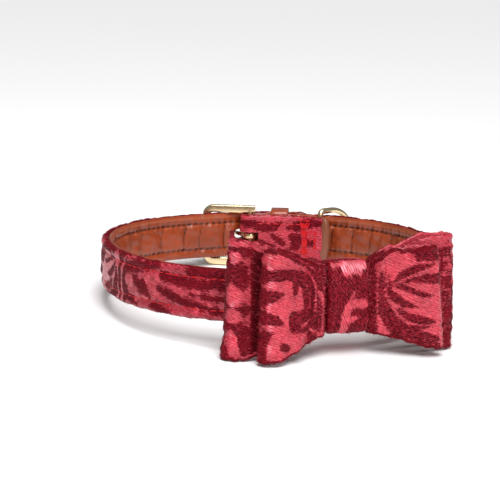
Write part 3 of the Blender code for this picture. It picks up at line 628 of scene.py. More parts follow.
def neck_ring():
    """The oval's points, from the heel bar round to the heel bar again."""
    angle = np.pi - np.linspace(0.0, 2 * np.pi, 2880, endpoint=False)
    cos, sin = np.cos(angle), np.sin(angle)
    half = np.where(cos > 0, RIGHT_HALF, LEFT_HALF)
    back = (1 + np.sign(sin) * np.abs(sin) ** OVAL_POWER) / 2
    x = OVAL_CENTRE + half * np.sign(cos) * np.abs(cos) ** OVAL_POWER - BUCKLE_DRIFT * back
    ring = np.stack([x, NECK_FRONT + NECK_DEPTH * back], axis=1)
    behind = ring[:, 1] > NECK_FRONT + NECK_DEPTH / 2
    ring = np.roll(ring, -int(np.argmin(np.where(behind, np.abs(x - HEEL_X), np.inf))), axis=0)
    return np.vstack([ring, ring[:1]])


RING = neck_ring()
RING_ALONG = np.concatenate([[0.0], np.cumsum(np.hypot(*np.diff(RING, axis=0).T))])
NECK_LENGTH = float(RING_ALONG[-1])


def unit(vectors):
    return vectors / np.linalg.norm(vectors, axis=-1, keepdims=True)


def left_of(ahead):
    """A level direction turned a quarter to its left."""
    return np.stack([-ahead[..., 1], ahead[..., 0]], axis=-1)


def outer(along):
    along = np.mod(along, NECK_LENGTH)
    return np.stack([np.interp(along, RING_ALONG, RING[:, k]) for k in (0, 1)], axis=-1)


def outward(along):
    return left_of(unit(outer(np.asarray(along) + 0.8) - outer(np.asarray(along) - 0.8)))


def neck_at(along, depth):
    return outer(along) - outward(along) * np.asarray(depth)[..., None]


print("neck", round(NECK_LENGTH, 1), "mm round")

# %% [markdown]
# The strap is one long piece. It starts inside as a folded-back end, turns round the heel
# bar, runs once round the neck, and ends as a tail over the buckle. A few places along it
# have their depth and the thickness of both layers given, and curves join them.

# %% The strap's course
FOLD_LENGTH, TAIL_LENGTH, TIP_LENGTH, TIP_BLUNT = 39.4, 31.0, 9.0, 0.16
Run = namedtuple("Run", "along depth cover lining")
FOLD_RUNS = [Run(0.0, 7.65, 1.6, 1.0), Run(6.0, 7.6, 1.6, 1.0), Run(14.0, 7.8, 1.7, 1.0),
             Run(25.0, 7.7, 1.8, 1.0), Run(34.5, 9.3, 1.8, 1.0), Run(39.4, 8.6, 1.8, 1.0)]
START_RUNS = [Run(0.0, 1.95, 1.6, 1.0), Run(7.0, 2.35, 2.1, 1.2), Run(15.0, 2.95, 2.8, 1.4)]
END_RUNS = [Run(-45.0, 2.95, 2.8, 1.4), Run(-30.0, 2.85, 2.6, 1.3), Run(-20.0, 2.45, 2.1, 1.1),
            Run(-10.0, 0.75, 1.9, 1.0), Run(-4.0, -0.85, 1.9, 1.0), Run(0.0, -1.4, 1.9, 1.0),
            Run(8.0, -1.65, 2.0, 1.0), Run(14.0, -1.75, 2.0, 1.0), Run(24.0, -2.1, 2.0, 1.0),
            Run(31.0, -3.0, 1.9, 1.0)]


def curves(runs):
    """Depth, cover thickness and lining thickness as curves of the distance along."""
    return [smooth([run.along for run in runs], [run[k] for run in runs]) for k in (1, 2, 3)]


PLY_CURVES = curves(FOLD_RUNS)
MAIN_CURVES = curves(START_RUNS + [run._replace(along=run.along + NECK_LENGTH)
                                   for run in END_RUNS])
print("strap from the fold's end to its tip:",
      round(FOLD_LENGTH + NECK_LENGTH + TAIL_LENGTH), "mm")

# %% [markdown]
# A route lists stations with their direction, the thickness of both layers and the width.
# They are laid in three legs: the folded-back end, the half turn round the heel bar, and the
# long way round the neck to the tail, whose tip is drawn in to a blunt point.

# %% The strap's route
Route = namedtuple("Route", "point out cover lining half along fold")


def fold_leg(step):
    depth, cover, lining = PLY_CURVES
    along = np.linspace(FOLD_LENGTH, 0.0, int(FOLD_LENGTH / step))
    return (neck_at(along, depth(along)), cover(along), lining(along), along * 0 + 1.0, along,
            along * 0 + 1.0)


def heel_leg(step):
    start = FOLD_RUNS[0]
    radius = start.depth - HEEL_DEPTH
    angle = np.linspace(-math.pi / 2, math.pi / 2, int(9 / step) + 2)[1:-1]
    out = outward(0.0)
    swing = np.cos(angle)[:, None] * left_of(out) + np.sin(angle)[:, None] * out
    flat = angle * 0
    return (neck_at(0.0, HEEL_DEPTH) + radius * swing, flat + start.cover, flat + start.lining,
            flat + 1.0, -radius * (angle / 2 + 0.8), flat + 1.0)


def neck_leg(step):
    depth, cover, lining = MAIN_CURVES
    tip_from = NECK_LENGTH + TAIL_LENGTH - TIP_LENGTH
    turn = np.linspace(0.0, math.acos(TIP_BLUNT), int(12 / step))
    along = np.concatenate([np.linspace(0.0, tip_from, int(tip_from / step))[:-1],
                            tip_from + TIP_LENGTH * np.sin(turn)])
    width = np.concatenate([np.ones(len(along) - len(turn)), np.cos(turn)])
    return neck_at(along, depth(along)), cover(along), lining(along), width, along, along * 0


def strap_route(step):
    legs = fold_leg(step), heel_leg(step), neck_leg(step)
    point, cover, lining, width, along, fold = [np.concatenate(rows) for rows in zip(*legs)]
    out = unit(left_of(np.gradient(point, axis=0)))
    return Route(point, out, cover, lining, width * MIDDLE, along, fold)


STRAP_ROUTE = strap_route(0.62)
print("route of", len(STRAP_ROUTE.point), "stations")

# %% [markdown]
# Across the strap both layers are puffed up between their seams: full in the middle, drawn
# in at the two stitch lines and thin at the edges. A quilted surface could be sculpted, but
# here every stitch line keeps its distance from the edge, so one section does it all. A
# layer's points are its free face from edge to edge, then its flat face along the seam.

# %% Layers of the strap
STITCH_LINE, LINING_STITCH_LINE = 0.60, 0.57
COVER_PLACES = (-1.0, -0.95, -0.83, -STITCH_LINE, -0.42, 0.0, 0.42, STITCH_LINE, 0.83, 0.95, 1.0)
COVER_FULL = smooth(COVER_PLACES, (0.3, 0.72, 0.97, 0.8, 1.0, 1.05, 1.0, 0.8, 0.97, 0.72, 0.3))
LINING_PLACES = (-0.98, -0.92, -0.75, -LINING_STITCH_LINE, -0.42, 0.0, 0.42,
                 LINING_STITCH_LINE, 0.75, 0.92, 0.98)
LINING_FULL = smooth(LINING_PLACES, (0.4, 0.9, 1.0, 0.5, 0.95, 1.0, 0.95, 0.5, 1.0, 0.9, 0.4))


def strap_layer(route, full, edge, thickness, side, rows, swell, wave=0.0):
    """Points of one layer, and the height of each across the strap."""
    free = np.linspace(-edge, edge, rows)
    seam = np.linspace(edge - 0.03, 0.03 - edge, 7)
    place = np.concatenate([free, seam])
    fullness = np.concatenate([full(free), seam * 0])
    along = route.along[:, None]
    height = MIDDLE + place[None, :] * route.half[:, None]
    height = height + wave * place ** 5 * (lumps(along, place * 0.4, 11, 16)
                                           + 0.5 * lumps(along, place, 3.4, 17))
    rise = thickness[:, None] * fullness[None, :]
    rise = rise + np.where(fullness > 0.5, swell(along + 0 * height, height), 0.0)
    base = route.point[:, None, :] + route.out[:, None, :] * side * GAP / 2
    level = base + route.out[:, None, :] * (side * rise)[..., None]
    return np.concatenate([level, height[..., None]], axis=2), height


print("cover is fullest at", float(COVER_FULL(0.0)), "and at its stitches",
      float(COVER_FULL(STITCH_LINE)), "of its thickness")

# %% [markdown]
# The cover stops just short of the folded-back end, where the leather is turned over it. It
# takes its pattern from two charts and the repeat. It is darkened along both edges, partly as
# wear and partly as painted shade, gets painted shade on the folded-back end inside the collar,
# and is darker in patches to the left of the bow.

# %% The strap's cover
CLOTH_FROM = 37.4
first = int(np.sum((STRAP_ROUTE.fold > 0.5) & (STRAP_ROUTE.along > CLOTH_FROM)))
CLOTH_ROUTE = Route(*[column[first:] for column in STRAP_ROUTE])


def cover_swell(along, height):
    return 0.13 * lumps(along, height, 7, 11) + 0.05 * lumps(along, height, 2.6, 12)


def make_cover():
    points, height = strap_layer(CLOTH_ROUTE, COVER_FULL, 1.0, CLOTH_ROUTE.cover, 1, 41,
                                 cover_swell, 0.18)
    along = CLOTH_ROUTE.along[:, None] + 0 * height
    on_ply = (CLOTH_ROUTE.fold > 0.5)[:, None]
    motif = np.where(on_ply, distance_to(PLY_DARK, along, height),
                     repeat_motif(along + 4, height - 12))
    left_side = ease((along - 238) / 5) * ease((300 - along) / 5) * (1 - on_ply)
    motif += (distance_to(STRAP_DARK, along, height) - motif) * left_side
    from_edge = MIDDLE - np.abs(height - MIDDLE)
    # Both edges are darkened: part wear, part painted shade.
    edge_wear_and_shade = 0.8 * ease(1 - from_edge / (1.3 + 0.45 * lumps(along, height, 3, 14)))
    # Darker in patches to the left of the bow.
    patches = 0.5 * left_side * ease(lumps(along, height, 6, 15) + 1.2)
    # The folded-back end, inside the collar, gets painted shade.
    return band("strap_cloth", points, (along, height), motif, BROCADE,
                np.maximum(edge_wear_and_shade, 0.3 * on_ply + patches), grain=(12.0, -8.0))


strap_cover = make_cover()

# %% [markdown]
# The lining is glossy cognac leather over thin wadding. Leather is a fine, closed grain under
# a clear finish. Its tone is cloudy, with painted shade in stitched valleys and creases and a
# painted highlight where it is highest. The mark that turns brocade into leaf serves here for
# those places: above 0 for the shade, below 0 for the highlight.

# %% Leather
def leather(name, tan, deep):
    made = begin(name, Coat_Roughness=0.17, Coat_IOR=1.5, Coat_Weight=0.3,
                 Specular_IOR_Level=0.25)
    place, shade_and_highlight = object_place(), stored("motif")
    grain = Wire.node("ShaderNodeTexVoronoi", {"feature": "DISTANCE_TO_EDGE"}, Vector=place,
                      Scale=1400.0)
    cloud = noise(place, 90.0, 4.0, 0.6)
    fine = noise(place, 900.0, 3.0, 0.6)
    tone = mix(cloud.step(0.3, 0.7), tan, shade(tan, 0.7))
    # Painted shade: where the mark is above 0 the tan turns to the deep colour.
    tone = mix(shade_and_highlight.step(0.05, 0.8), tone, deep)
    # Painted highlight: where the mark is below 0 the tan turns pale.
    tone = mix((shade_and_highlight * -1.0).step(0.05, 0.8), tone, rgb(206, 132, 104))
    relief = grain.step(0.0, 0.25) * 0.6 + fine * 0.8
    return feed(made, Base_Color=tone, Normal=bump(relief, 0.06 * MM, 0.6),
                Roughness=cloud * 0.16 + 0.26)


# The second colour of each leather is its painted shade.
LEATHER = leather("leather", rgb(150, 63, 31), rgb(38, 12, 6))
RAW_EDGE = leather("raw leather edge", rgb(134, 76, 54), rgb(90, 60, 46))

# %% [markdown]
# Two rows of stitching hold the lining down, so it puffs up in three long rolls, and the
# bend of the collar creases the middle roll across every centimetre or so. Evenly repeated
# creases would look like a machine's work, so the first few, where the lining shows over the
# bow, are listed one by one, and the rest fall by chance.

# %% Creases
SEEN_CREASES = [(39.6, 1.0), (50.6, 0.8), (60.8, 0.45), (74.6, 0.7), (77.8, 0.5)]
chance = np.random.default_rng(5).uniform(8, 14, 32)
CREASES = np.concatenate([[along for along, deep in SEEN_CREASES], 88 + np.cumsum(chance)])
CREASE_DEEP = np.random.default_rng(6).uniform(0.4, 1.0, len(CREASES))
CREASE_DEEP[:len(SEEN_CREASES)] = [deep for along, deep in SEEN_CREASES]


def creases(along, height):
    """How deep each place lies in a crease, and how far out of the nearest one, from 0 to 1."""
    part = (height - MIDDLE) / 6.5
    bent = along - 1.4 * np.maximum(part + 0.15, 0) ** 2 + 0.35 * np.sin(along * 1.7) * part
    gaps = bent[..., None] - CREASES
    near = np.abs(gaps).argmin(axis=-1)
    gap = np.take_along_axis(gaps, near[..., None], axis=-1)[..., 0]
    inside = ease((7.0 - np.abs(height - MIDDLE)) / 2.5)
    return CREASE_DEEP[near] * bell(gap / 0.33) * inside, (1 - bell(gap / 2.4)) * inside


print(len(CREASES), "creases")

# %% [markdown]
# The stitches pull small puffs up on both sides of their row, about three millimetres apart,
# and the valley gets painted shade, darkest where the puffs are low. The puffs beside the
# upper row and the rim get a painted highlight, and the creases painted shade.

# %% The strap's lining
PUFFS = 2.1


def lining_swell(along, height):
    deep, pillow = creases(along, height)
    from_row = np.abs(np.abs(height - MIDDLE) - LINING_STITCH_LINE * MIDDLE)
    puffs = 0.12 * np.sin(along * PUFFS) * ease((4.0 - from_row) / 3)
    return 0.18 * lumps(along, height, 5, 21) - 0.42 * deep + 0.5 * pillow + puffs


def make_lining():
    points, height = strap_layer(STRAP_ROUTE, LINING_FULL, 0.98, STRAP_ROUTE.lining, -1, 37,
                                 lining_swell)
    along = STRAP_ROUTE.along[:, None] + 0 * height
    place = (height - MIDDLE) / np.maximum(STRAP_ROUTE.half[:, None], 1.0)
    from_middle = np.abs(place)
    # Painted shade in the stitched valleys, darkest where the puffs are low.
    valley = bell((from_middle - LINING_STITCH_LINE) / 0.055)
    valley = valley * (0.6 - 0.25 * np.sin(along * PUFFS))
    # Painted highlight on the puffs beside the upper stitch row and along the rim.
    rubbed_highlight = 0.4 * bell((from_middle - 0.48) / 0.05) * ease(lumps(along, height, 3, 22) + 0.3)
    rubbed_highlight = rubbed_highlight + 0.3 * bell((place - 0.84) / 0.08)
    # The creases get painted shade from their depth; the painted highlight lies below 0.
    mark = np.maximum(valley, creases(along, height)[0] * 0.9) - rubbed_highlight
    return band("strap_leather", points, (along, height), mark, LEATHER, 0 * mark)


strap_lining = make_lining()

# %% [markdown]
# The prong needs a slot where the strap turns round the heel bar, and the tail has three
# round holes. Both are cut through cloth and leather at once, as with a punch.

# %% Punches
HOLE_RADIUS, FIRST_HOLE, HOLE_STEP = 2.3, -4.35, 12.0
SLOT_HALF = 2.1


def cutter(name, *solids):
    """Joins solids, each (points moved to the collar's frame), into one cutting tool."""
    tool = bmesh.new()
    for kind, sizes, move in solids:
        made = getattr(bmesh.ops, kind)(tool, **sizes)
        for vert in made["verts"]:
            vert.co = on_table(move(np.array(vert.co) / MM))
    bmesh.ops.recalc_face_normals(tool, faces=tool.faces)
    made = bpy.data.objects.new(name, mesh_of(name, tool))
    bpy.context.scene.collection.objects.link(made)
    return made


def hole_move(along):
    out = outward(along)
    centre = neck_at(along, curves(END_RUNS)[0](along))
    return lambda p: [*(centre + out * p[2] - left_of(out) * p[0]), MIDDLE + p[1]]


def slot_move(p):
    out = outward(0.0)
    ahead = -9.0 if p[0] < 0 else 3.2
    depth = -9.0 if p[1] < 0 else HEEL_DEPTH - 0.05
    spot = neck_at(0.0, HEEL_DEPTH) - left_of(out) * ahead + out * depth
    return [*spot, MIDDLE + math.copysign(SLOT_HALF, p[2])]


PUNCH = {"cap_ends": True, "segments": 40, "radius1": HOLE_RADIUS * MM,
         "radius2": HOLE_RADIUS * MM, "depth": 5.4 * MM}
holes = cutter("holes", *[("create_cone", PUNCH, hole_move(FIRST_HOLE + HOLE_STEP * i))
                          for i in range(3)])
slot = cutter("slot", ("create_cube", {"size": 1.0}, slot_move))
print("punches:", holes.name, "and", slot.name)

# %% [markdown]
# A Boolean modifier subtracts each punch, which keeps the marks of the cloth around the
# hole. The result is read back as a plain mesh, so that the punches can be thrown away.

# %% Cutting
def punch(target):
    for tool in (holes, slot):
        cut = target.modifiers.new(tool.name, "BOOLEAN")
        cut.operation, cut.solver, cut.object = "DIFFERENCE", "EXACT", tool
    bpy.context.view_layer.update()
    shapes = bpy.context.evaluated_depsgraph_get()
    done = bpy.data.meshes.new_from_object(target.evaluated_get(shapes))
    target.modifiers.clear()
    whole, target.data = target.data, done
    bpy.data.meshes.remove(whole)
    print(target.name, "has", len(done.polygons), "faces once cut")


for target in (strap_cover, strap_lining):
    punch(target)
for tool in (holes, slot):
    data = tool.data
    bpy.data.objects.remove(tool, do_unlink=True)
    bpy.data.meshes.remove(data)

# %% [markdown]
# Each loop of the bow is a flattened tube of cloth, pinched at the knot and open above and
# below. Seen from above, its four layers are curves of the distance out from the bow's
# middle, and the whole face swings forward towards the ends. A cloth simulation could drape
# such a loop, but this bow is pressed and stitched and doesn't hang, and measures can be
# followed more closely. Each wing has its own reach and height at its upper and lower corner,
# because a bow made by hand is never quite even.

# %% The bow's measures
BOW_X, BOW_CENTRE_Z = 0.8, 10.9
WAIST, KNOT_WIDTH, FOLD_RADIUS = 11.2, 16.2, 5.4
EDGE_ROUND, CLOTH_THICK = 0.85, 2.0
Layer = namedtuple("Layer", "out rear_back rear_front front_back front_front")
LAYERS = [Layer(0.0, 2.5, -0.55, -0.9, -3.95), Layer(8.0, 2.5, -0.6, -0.95, -4.1),
          Layer(13.0, 2.5, -1.7, -2.1, -6.9), Layer(20.0, 3.0, -3.2, -4.1, -10.4),
          Layer(28.0, 4.3, -4.3, -6.3, -13.9), Layer(33.0, 4.8, -4.6, -7.1, -14.9),
          Layer(44.0, 5.0, -4.8, -7.4, -15.2)]
Wing = namedtuple("Wing", "side reach_top reach_bottom top bottom open_top open_bottom flare lift")
REAR_WINGS = [Wing(-1, 44.4, 46.0, 22.0, 22.0, 0.95, 0.9, 1.2, 0.0),
              Wing(1, 42.2, 43.2, 21.7, 21.7, 0.74, 1.0, 0.0, 2.3)]
FRONT_WINGS = [Wing(-1, 34.6, 35.7, 20.4, 21.5, 0.8, 0.85, 0.5, 0.3),
               Wing(1, 32.0, 35.6, 19.6, 19.4, 0.8, 1.0, 0.3, 3.5)]
Pleat = namedtuple("Pleat", "side out height spread curve")
PLEATS = [Pleat(-1, 9.9, 1.4, 1.0, 0.3), Pleat(-1, 13.9, -0.7, 1.3, 3.0),
          Pleat(-1, 17.0, 0.5, 2.0, 3.0), Pleat(1, 11.2, 1.3, 1.6, 0.6),
          Pleat(1, 14.7, -0.6, 1.3, 2.2)]
PLY = smooth([0.0, 8.0, 13.0, 60.0], [1.35, 1.35, CLOTH_THICK, CLOTH_THICK])


def layer_curve(column):
    return smooth([row.out for row in LAYERS], [getattr(row, column) for row in LAYERS])


print("front loop", round(sum(wing.reach_bottom for wing in FRONT_WINGS), 1), "mm wide")

# %% [markdown]
# A wing's path runs out along its front, round the fold at its end and back along its rear.
# Its section runs up the outer face, over a rounded edge, down the inner face and round the
# other edge, because the cloth's edges are turned in.

# %% Path and section of a wing
def wing_path(wing, front, back, step):
    """Stations of one wing from the middle of its front, over the end fold, to its back.

    Each is (out, y, inner out, inner y, how far round from front, 0, to back, 1)."""
    turn_at = (wing.reach_top + wing.reach_bottom) / 2 - FOLD_RADIUS
    out = np.linspace(0.0, turn_at, int(turn_at / step) + 1)
    ply = PLY(out)
    y_front, y_back = front(out), back(out)
    rows = [np.stack([out, y_front, out, y_front + ply, out * 0], axis=1)]
    middle, half = (y_front[-1] + y_back[-1]) / 2, (y_back[-1] - y_front[-1]) / 2
    turn = np.linspace(0.0, math.pi, int(11 / step) + 2)[1:-1]
    rows.append(np.stack([turn_at + FOLD_RADIUS * np.sin(turn), middle - half * np.cos(turn),
                          turn_at + (FOLD_RADIUS - CLOTH_THICK) * np.sin(turn),
                          middle - (half - CLOTH_THICK) * np.cos(turn), turn / math.pi],
                         axis=1))
    coarse = slice(None, None, -2)
    rows.append(np.stack([out, y_back, out, y_back - ply, out * 0 + 1], axis=1)[coarse])
    return np.concatenate(rows)


def section(rows, inner_rows, turns):
    """(row from -1 to 1, part of the edge rounding, depth from outer face 0 to inner 1)"""
    turn = np.linspace(0.0, math.pi, turns + 2)[1:-1]
    up = np.linspace(-1.0, 1.0, rows)
    down = np.linspace(1.0, -1.0, inner_rows)
    one = np.ones(turns)
    return np.concatenate([
        np.stack([up, up * 0, up * 0], axis=1),
        np.stack([one, np.sin(turn), (1 - np.cos(turn)) / 2], axis=1),
        np.stack([down, down * 0, down * 0 + 1], axis=1),
        np.stack([-one, np.sin(turn), (1 + np.cos(turn)) / 2], axis=1)])


print("section of the front loop:", len(section(88, 44, 5)), "points")

# %% [markdown]
# The wing's height grows from the waist to the corner, with a small shoulder where the cloth
# comes out of the knot. The end leans with the two reaches and bulges a little in its
# middle. The edges wander, and the outer face gets the relief of its pleats.

# %% Points of a wing
def wing_height(wing, waist, out, row, around):
    """Half the cloth's height, with its ragged edge, and how far out it is, from 0 to 1."""
    reach = (wing.reach_top + wing.reach_bottom) / 2
    share = np.clip((out - KNOT_WIDTH / 2) / (reach - KNOT_WIDTH / 2), 0.0, 1.0)
    upper = row >= 0
    corner = np.where(upper, wing.top, wing.bottom)
    opening = np.where(upper, wing.open_top, wing.open_bottom)
    shoulder = waist + np.where(upper, 1.8, 3.7) * ease((out - 7.9) / 1.0)
    height = shoulder + (corner - shoulder) * ease(share / opening)
    height = height + wing.lift * bell((out - 15.5) / 4.9) * ease((out - 8) / 2.5) * upper
    ragged = 0.28 * lumps(out + 50 * around, 0, 6, 61) + 0.16 * lumps(out + 50 * around, 7, 2.1, 62)
    return height + ragged * np.abs(row) ** 6 * ease((out - 7) / 4), share


def wing_points(wing, path, waist, shape, relief):
    """Points of one wing for every station and section place, and how far each is inward."""
    out, y, inner_out, inner_y, around = [path[:, k, None] for k in range(5)]
    row, edge, depth = [shape[None, :, k] for k in range(3)]
    out = out + (inner_out - out) * depth
    height, share = wing_height(wing, waist, out, row, around)
    z = row * (height - EDGE_ROUND) + np.sign(row) * edge * EDGE_ROUND
    lean = (wing.reach_top - wing.reach_bottom) / 2 * row + 0.5 * (1 - row * row)
    lean = lean + wing.flare * ease((-row - 0.62) / 0.25) + 0.2 * lumps(row * 20, 3, 4, 63)
    x = BOW_X + wing.side * (out + lean * share ** 3)
    y = y + (inner_y - y) * depth - relief(wing, x, z, out, row, around) * (1 - depth)
    inward = height * (1 - np.abs(row)) + 0 * x
    return np.stack([x, y, BOW_CENTRE_Z + z], axis=-1), inward


def front_relief(wing, x, z, out, row, around):
    rise = 0.0
    for pleat in PLEATS:
        if pleat.side == wing.side:
            centre = pleat.out + pleat.curve * row ** 2
            rise = rise + pleat.height * bell((out - centre) / pleat.spread)
    open_cloth = ease((out - 9) / 4)
    rise = rise + open_cloth * (0.34 * lumps(x, z, 9, 31) + 0.1 * lumps(x, z, 3.2, 32))
    return rise * (around < 0.02) + 0.05 * lumps(x, z, 3.0, 33) * (around >= 0.02)


def rear_relief(wing, x, z, out, row, around):
    return 0.2 * ease((out - 9) / 4) * lumps(x + 40 * around, z, 7, 41)


print("pleats gathered at the knot:", len(PLEATS))

# %% [markdown]
# The two loops differ in size, in the way their cloth faces and in what can be seen of them.
# Each has a chart for its face. The front loop shows the leaves on both wings, and the rear
# loop shows only the folds beside them.

# %% Pattern of a loop
Loop = namedtuple("Loop", "name wings column waist step rows chart relief turned valley ridge")


def front_chart(x, z):
    return np.where(x < BOW_X, charted(LEFT_WING_DARK, LEFT_WING_LIGHT, x, z),
                    charted(RIGHT_WING_DARK, RIGHT_WING_LIGHT, x, z))


def rear_chart(x, z):
    return distance_to(REAR_DARK, x, z)


def loop_leaves(loop, wing, x, u, v, around, inside, behind):
    """How far each point is from a leaf: the chart on the face, the repeat out of sight.

    The rear loop's right fold and its turned-in top edges are mottled, not charted."""
    out = np.abs(x - BOW_X)
    right = wing.side > 0
    seen = loop.chart(x, v)
    if right and loop.turned < 0:
        seen = np.where(out > 37, 0.1 + 0.03 * v + 0.9 * lumps(u, v, 4, 69), seen)
    if right:
        seen = np.where(inside, 1.0, seen)
        seen = np.where(behind, 1.4 + 0.8 * lumps(out, v, 5, 67), seen)
    hidden = repeat_motif(u * loop.turned + 7, v * loop.turned)
    hidden = np.where(behind, 0.1 + 1.2 * lumps(out, v, 4, 66), hidden)
    share = np.where(inside, not right, ease((around - 0.45) / 0.2))
    return seen + (hidden - seen) * share


print("strokes on the face of the front loop:", len(LEFT_WING_DARK + RIGHT_WING_DARK))

# %% [markdown]
# Wear and painted shade give the bow its depth. The cloth is darkened along its edges, partly
# as wear and partly as painted shade. It gets painted shade beside the knot, on the end folds
# and inside the tube, and a painted shadow in the valley where the front loop lies on the rear
# one. On the left the ridge of each fold gets a painted highlight in patches.

# %% Wear and painted light of a loop
# Widths of the darkened edges: part wear, part painted shade.
FRINGE_TOP_LEFT, FRINGE_TOP_RIGHT, FRINGE_BELOW = 1.4, 0.8, 0.5


def loop_wear_and_light(loop, wing, out, v, inward, around, inside, behind):
    left = wing.side < 0
    # Edges are darkened: part wear, part painted shade where the cloth turns away.
    fringe = np.where(v > 0, FRINGE_TOP_LEFT if left else FRINGE_TOP_RIGHT, FRINGE_BELOW)
    fringe = np.maximum(fringe + 0.45 * lumps(out, v, 3.0, 65), 0.15)
    # Painted shade beside the knot and on the end folds.
    beside_knot = 0.9 * ease((10.2 - out) / 1.8) + 0.6 * ease((9.4 - out) / 0.9)
    end_fold_shade = 0.8 * ease((around - 0.26) / 0.2) * ease((0.9 - around) / 0.2)
    wear_and_light = np.maximum(ease(1 - inward / fringe), beside_knot)
    wear_and_light = np.maximum(wear_and_light, end_fold_shade)
    # Painted shade inside the tube, strongest near its edges.
    wear_and_light = np.where(inside, np.where(inward > 1.0, 0.1, 0.7), wear_and_light)
    wear_and_light = np.where(behind, wear_and_light * 0.2, wear_and_light)
    # Painted shadow in the valley where the front loop lies on the rear one, and painted shade on
    # the rear loop's right face.
    valley = 0.4
    if left:
        valley = 0.55 * ease((42.4 - out) / 1.8) + 1.0 * ease((37.8 - out) / 1.8)
    wear_and_light = np.maximum(wear_and_light, loop.valley * valley * (around < 0.3) * (inward > 1.2))
    if left:
        # Painted shade past the ridge of each left fold, and a painted highlight on the ridge in
        # patches.
        past_ridge_shade = 0.55 * ease((out - loop.ridge - 0.5) / 1.2)
        wear_and_light = np.maximum(wear_and_light, past_ridge_shade * ~inside)
        patches = ease((lumps(out, v, 5, 68) + 0.3 + v * 0.03) / 0.8)
        polished_highlight = 0.5 * bell((out - loop.ridge) / 1.8) * patches
        wear_and_light = wear_and_light - polished_highlight * (wear_and_light < 0.2) * ~inside
    return wear_and_light


print("top edges are matted for", FRINGE_TOP_LEFT, "mm on the left and", FRINGE_TOP_RIGHT,
      "mm on the right")

# %% [markdown]
# The two wings of a loop meet in the middle of its front and of its back, under the knot,
# and are joined there into one closed band.

# %% Loops of the bow
def loop_half(loop, wing):
    """One wing: its points, its place on the flat cloth, its leaves and its mark of wear and
    painted light.
    """
    path = wing_path(wing, layer_curve(loop.column + "_front"),
                     layer_curve(loop.column + "_back"), loop.step)
    shape = section(loop.rows, loop.rows // 2, 5)
    points, inward = wing_points(wing, path, loop.waist, shape, loop.relief)
    steps = np.linalg.norm(np.diff(path[:, :2], axis=0), axis=1)
    far = np.concatenate([[0.0], np.cumsum(steps)])[:, None] * wing.side
    x, v = points[..., 0], points[..., 2] - BOW_CENTRE_Z
    u, out, around = BOW_X + far + 0 * v, np.abs(x - BOW_X), path[:, 4, None]
    inside = shape[None, :, 2] > 0.5
    at_back = (around > 0.4) | (loop.turned < 0)
    behind = (v > 0) & (inward < 3.5) & at_back & (out > 14)
    leaves = loop_leaves(loop, wing, x, u, v, around, inside, behind)
    return points, u, v, leaves, loop_wear_and_light(loop, wing, out, v, inward, around, inside, behind)


def make_loop(loop):
    left, right = [loop_half(loop, wing) for wing in loop.wings]
    points, u, v, leaves, wear_and_light = [np.concatenate([b, a[-2:0:-1]]) for a, b in zip(left, right)]
    return band(loop.name, points, (u, v), leaves, BROCADE, wear_and_light, closed=True,
                grain=(-20.0, 15.0))


bow_front = make_loop(Loop("bow_front_cloth", FRONT_WINGS, "front", WAIST - 0.6, 0.45, 88,
                           front_chart, front_relief, 1, 0.0, 32.6))
bow_rear = make_loop(Loop("bow_rear_cloth", REAR_WINGS, "rear", WAIST, 0.6, 72,
                          rear_chart, rear_relief, -1, 1.0, 43.8))

# %% [markdown]
# The knot is a separate band of the same cloth. It goes round the waist of both loops and
# round the strap behind them, with its long edges turned under. It is pulled tight, so its
# path is a rounded rectangle, whose back side follows the strap's slant.

# %% The knot's path
KNOT_THICK, KNOT_CORNER, KNOT_FRONT, WAIST_BACK = 2.1, 2.7, -4.1, 2.5
STRAP_THICK = 2.8 + GAP + 1.4


def rounded_box(low, high, half, radius, turns, upright_steps, level_steps):
    """A rounded rectangle, from low to high and from -half to half, as points in order."""
    corners = ((high - radius, half - radius), (low + radius, half - radius),
               (low + radius, radius - half), (high - radius, radius - half))
    outline = []
    for quarter, (first, second) in enumerate(corners):
        for turn in np.linspace(0, math.pi / 2, turns + 1) + math.pi / 2 * quarter:
            outline.append((first + radius * math.cos(turn), second + radius * math.sin(turn)))
        following = corners[(quarter + 1) % 4]
        steps = level_steps if quarter % 2 == 0 else upright_steps
        start = outline[-1]
        for share in np.linspace(0, 1, steps + 1)[1:-1]:
            outline.append((start[0] + (following[0] - first) * share,
                            start[1] + (following[1] - second) * share))
    return np.array(outline)


def strap_behind_knot():
    """The slant of the strap behind the knot, and how far back its lining reaches."""
    along = np.linspace(0.0, NECK_LENGTH, 1200)
    place = outer(along)
    crossing = along[(np.abs(place[:, 0] - BOW_X) < KNOT_WIDTH / 2 + 0.5) & (place[:, 1] < 70)]
    spots = neck_at(crossing[[0, len(crossing) // 2, -1]], np.full(3, STRAP_THICK))
    slope = (spots[2, 1] - spots[0, 1]) / (spots[2, 0] - spots[0, 0])
    return slope, GAP + np.max(spots[:, 1] - slope * spots[:, 0])


print("the strap slants by", round(float(strap_behind_knot()[0]), 3), "behind the knot")

# %% [markdown]
# Round the knot, distance is measured from the middle of its face, so that the chart can
# be laid there. Its threads run steeply, and its side edges and its upper edge are darkened,
# partly as wear and partly as painted shade. A patch just below the upper edge gets a painted
# highlight.

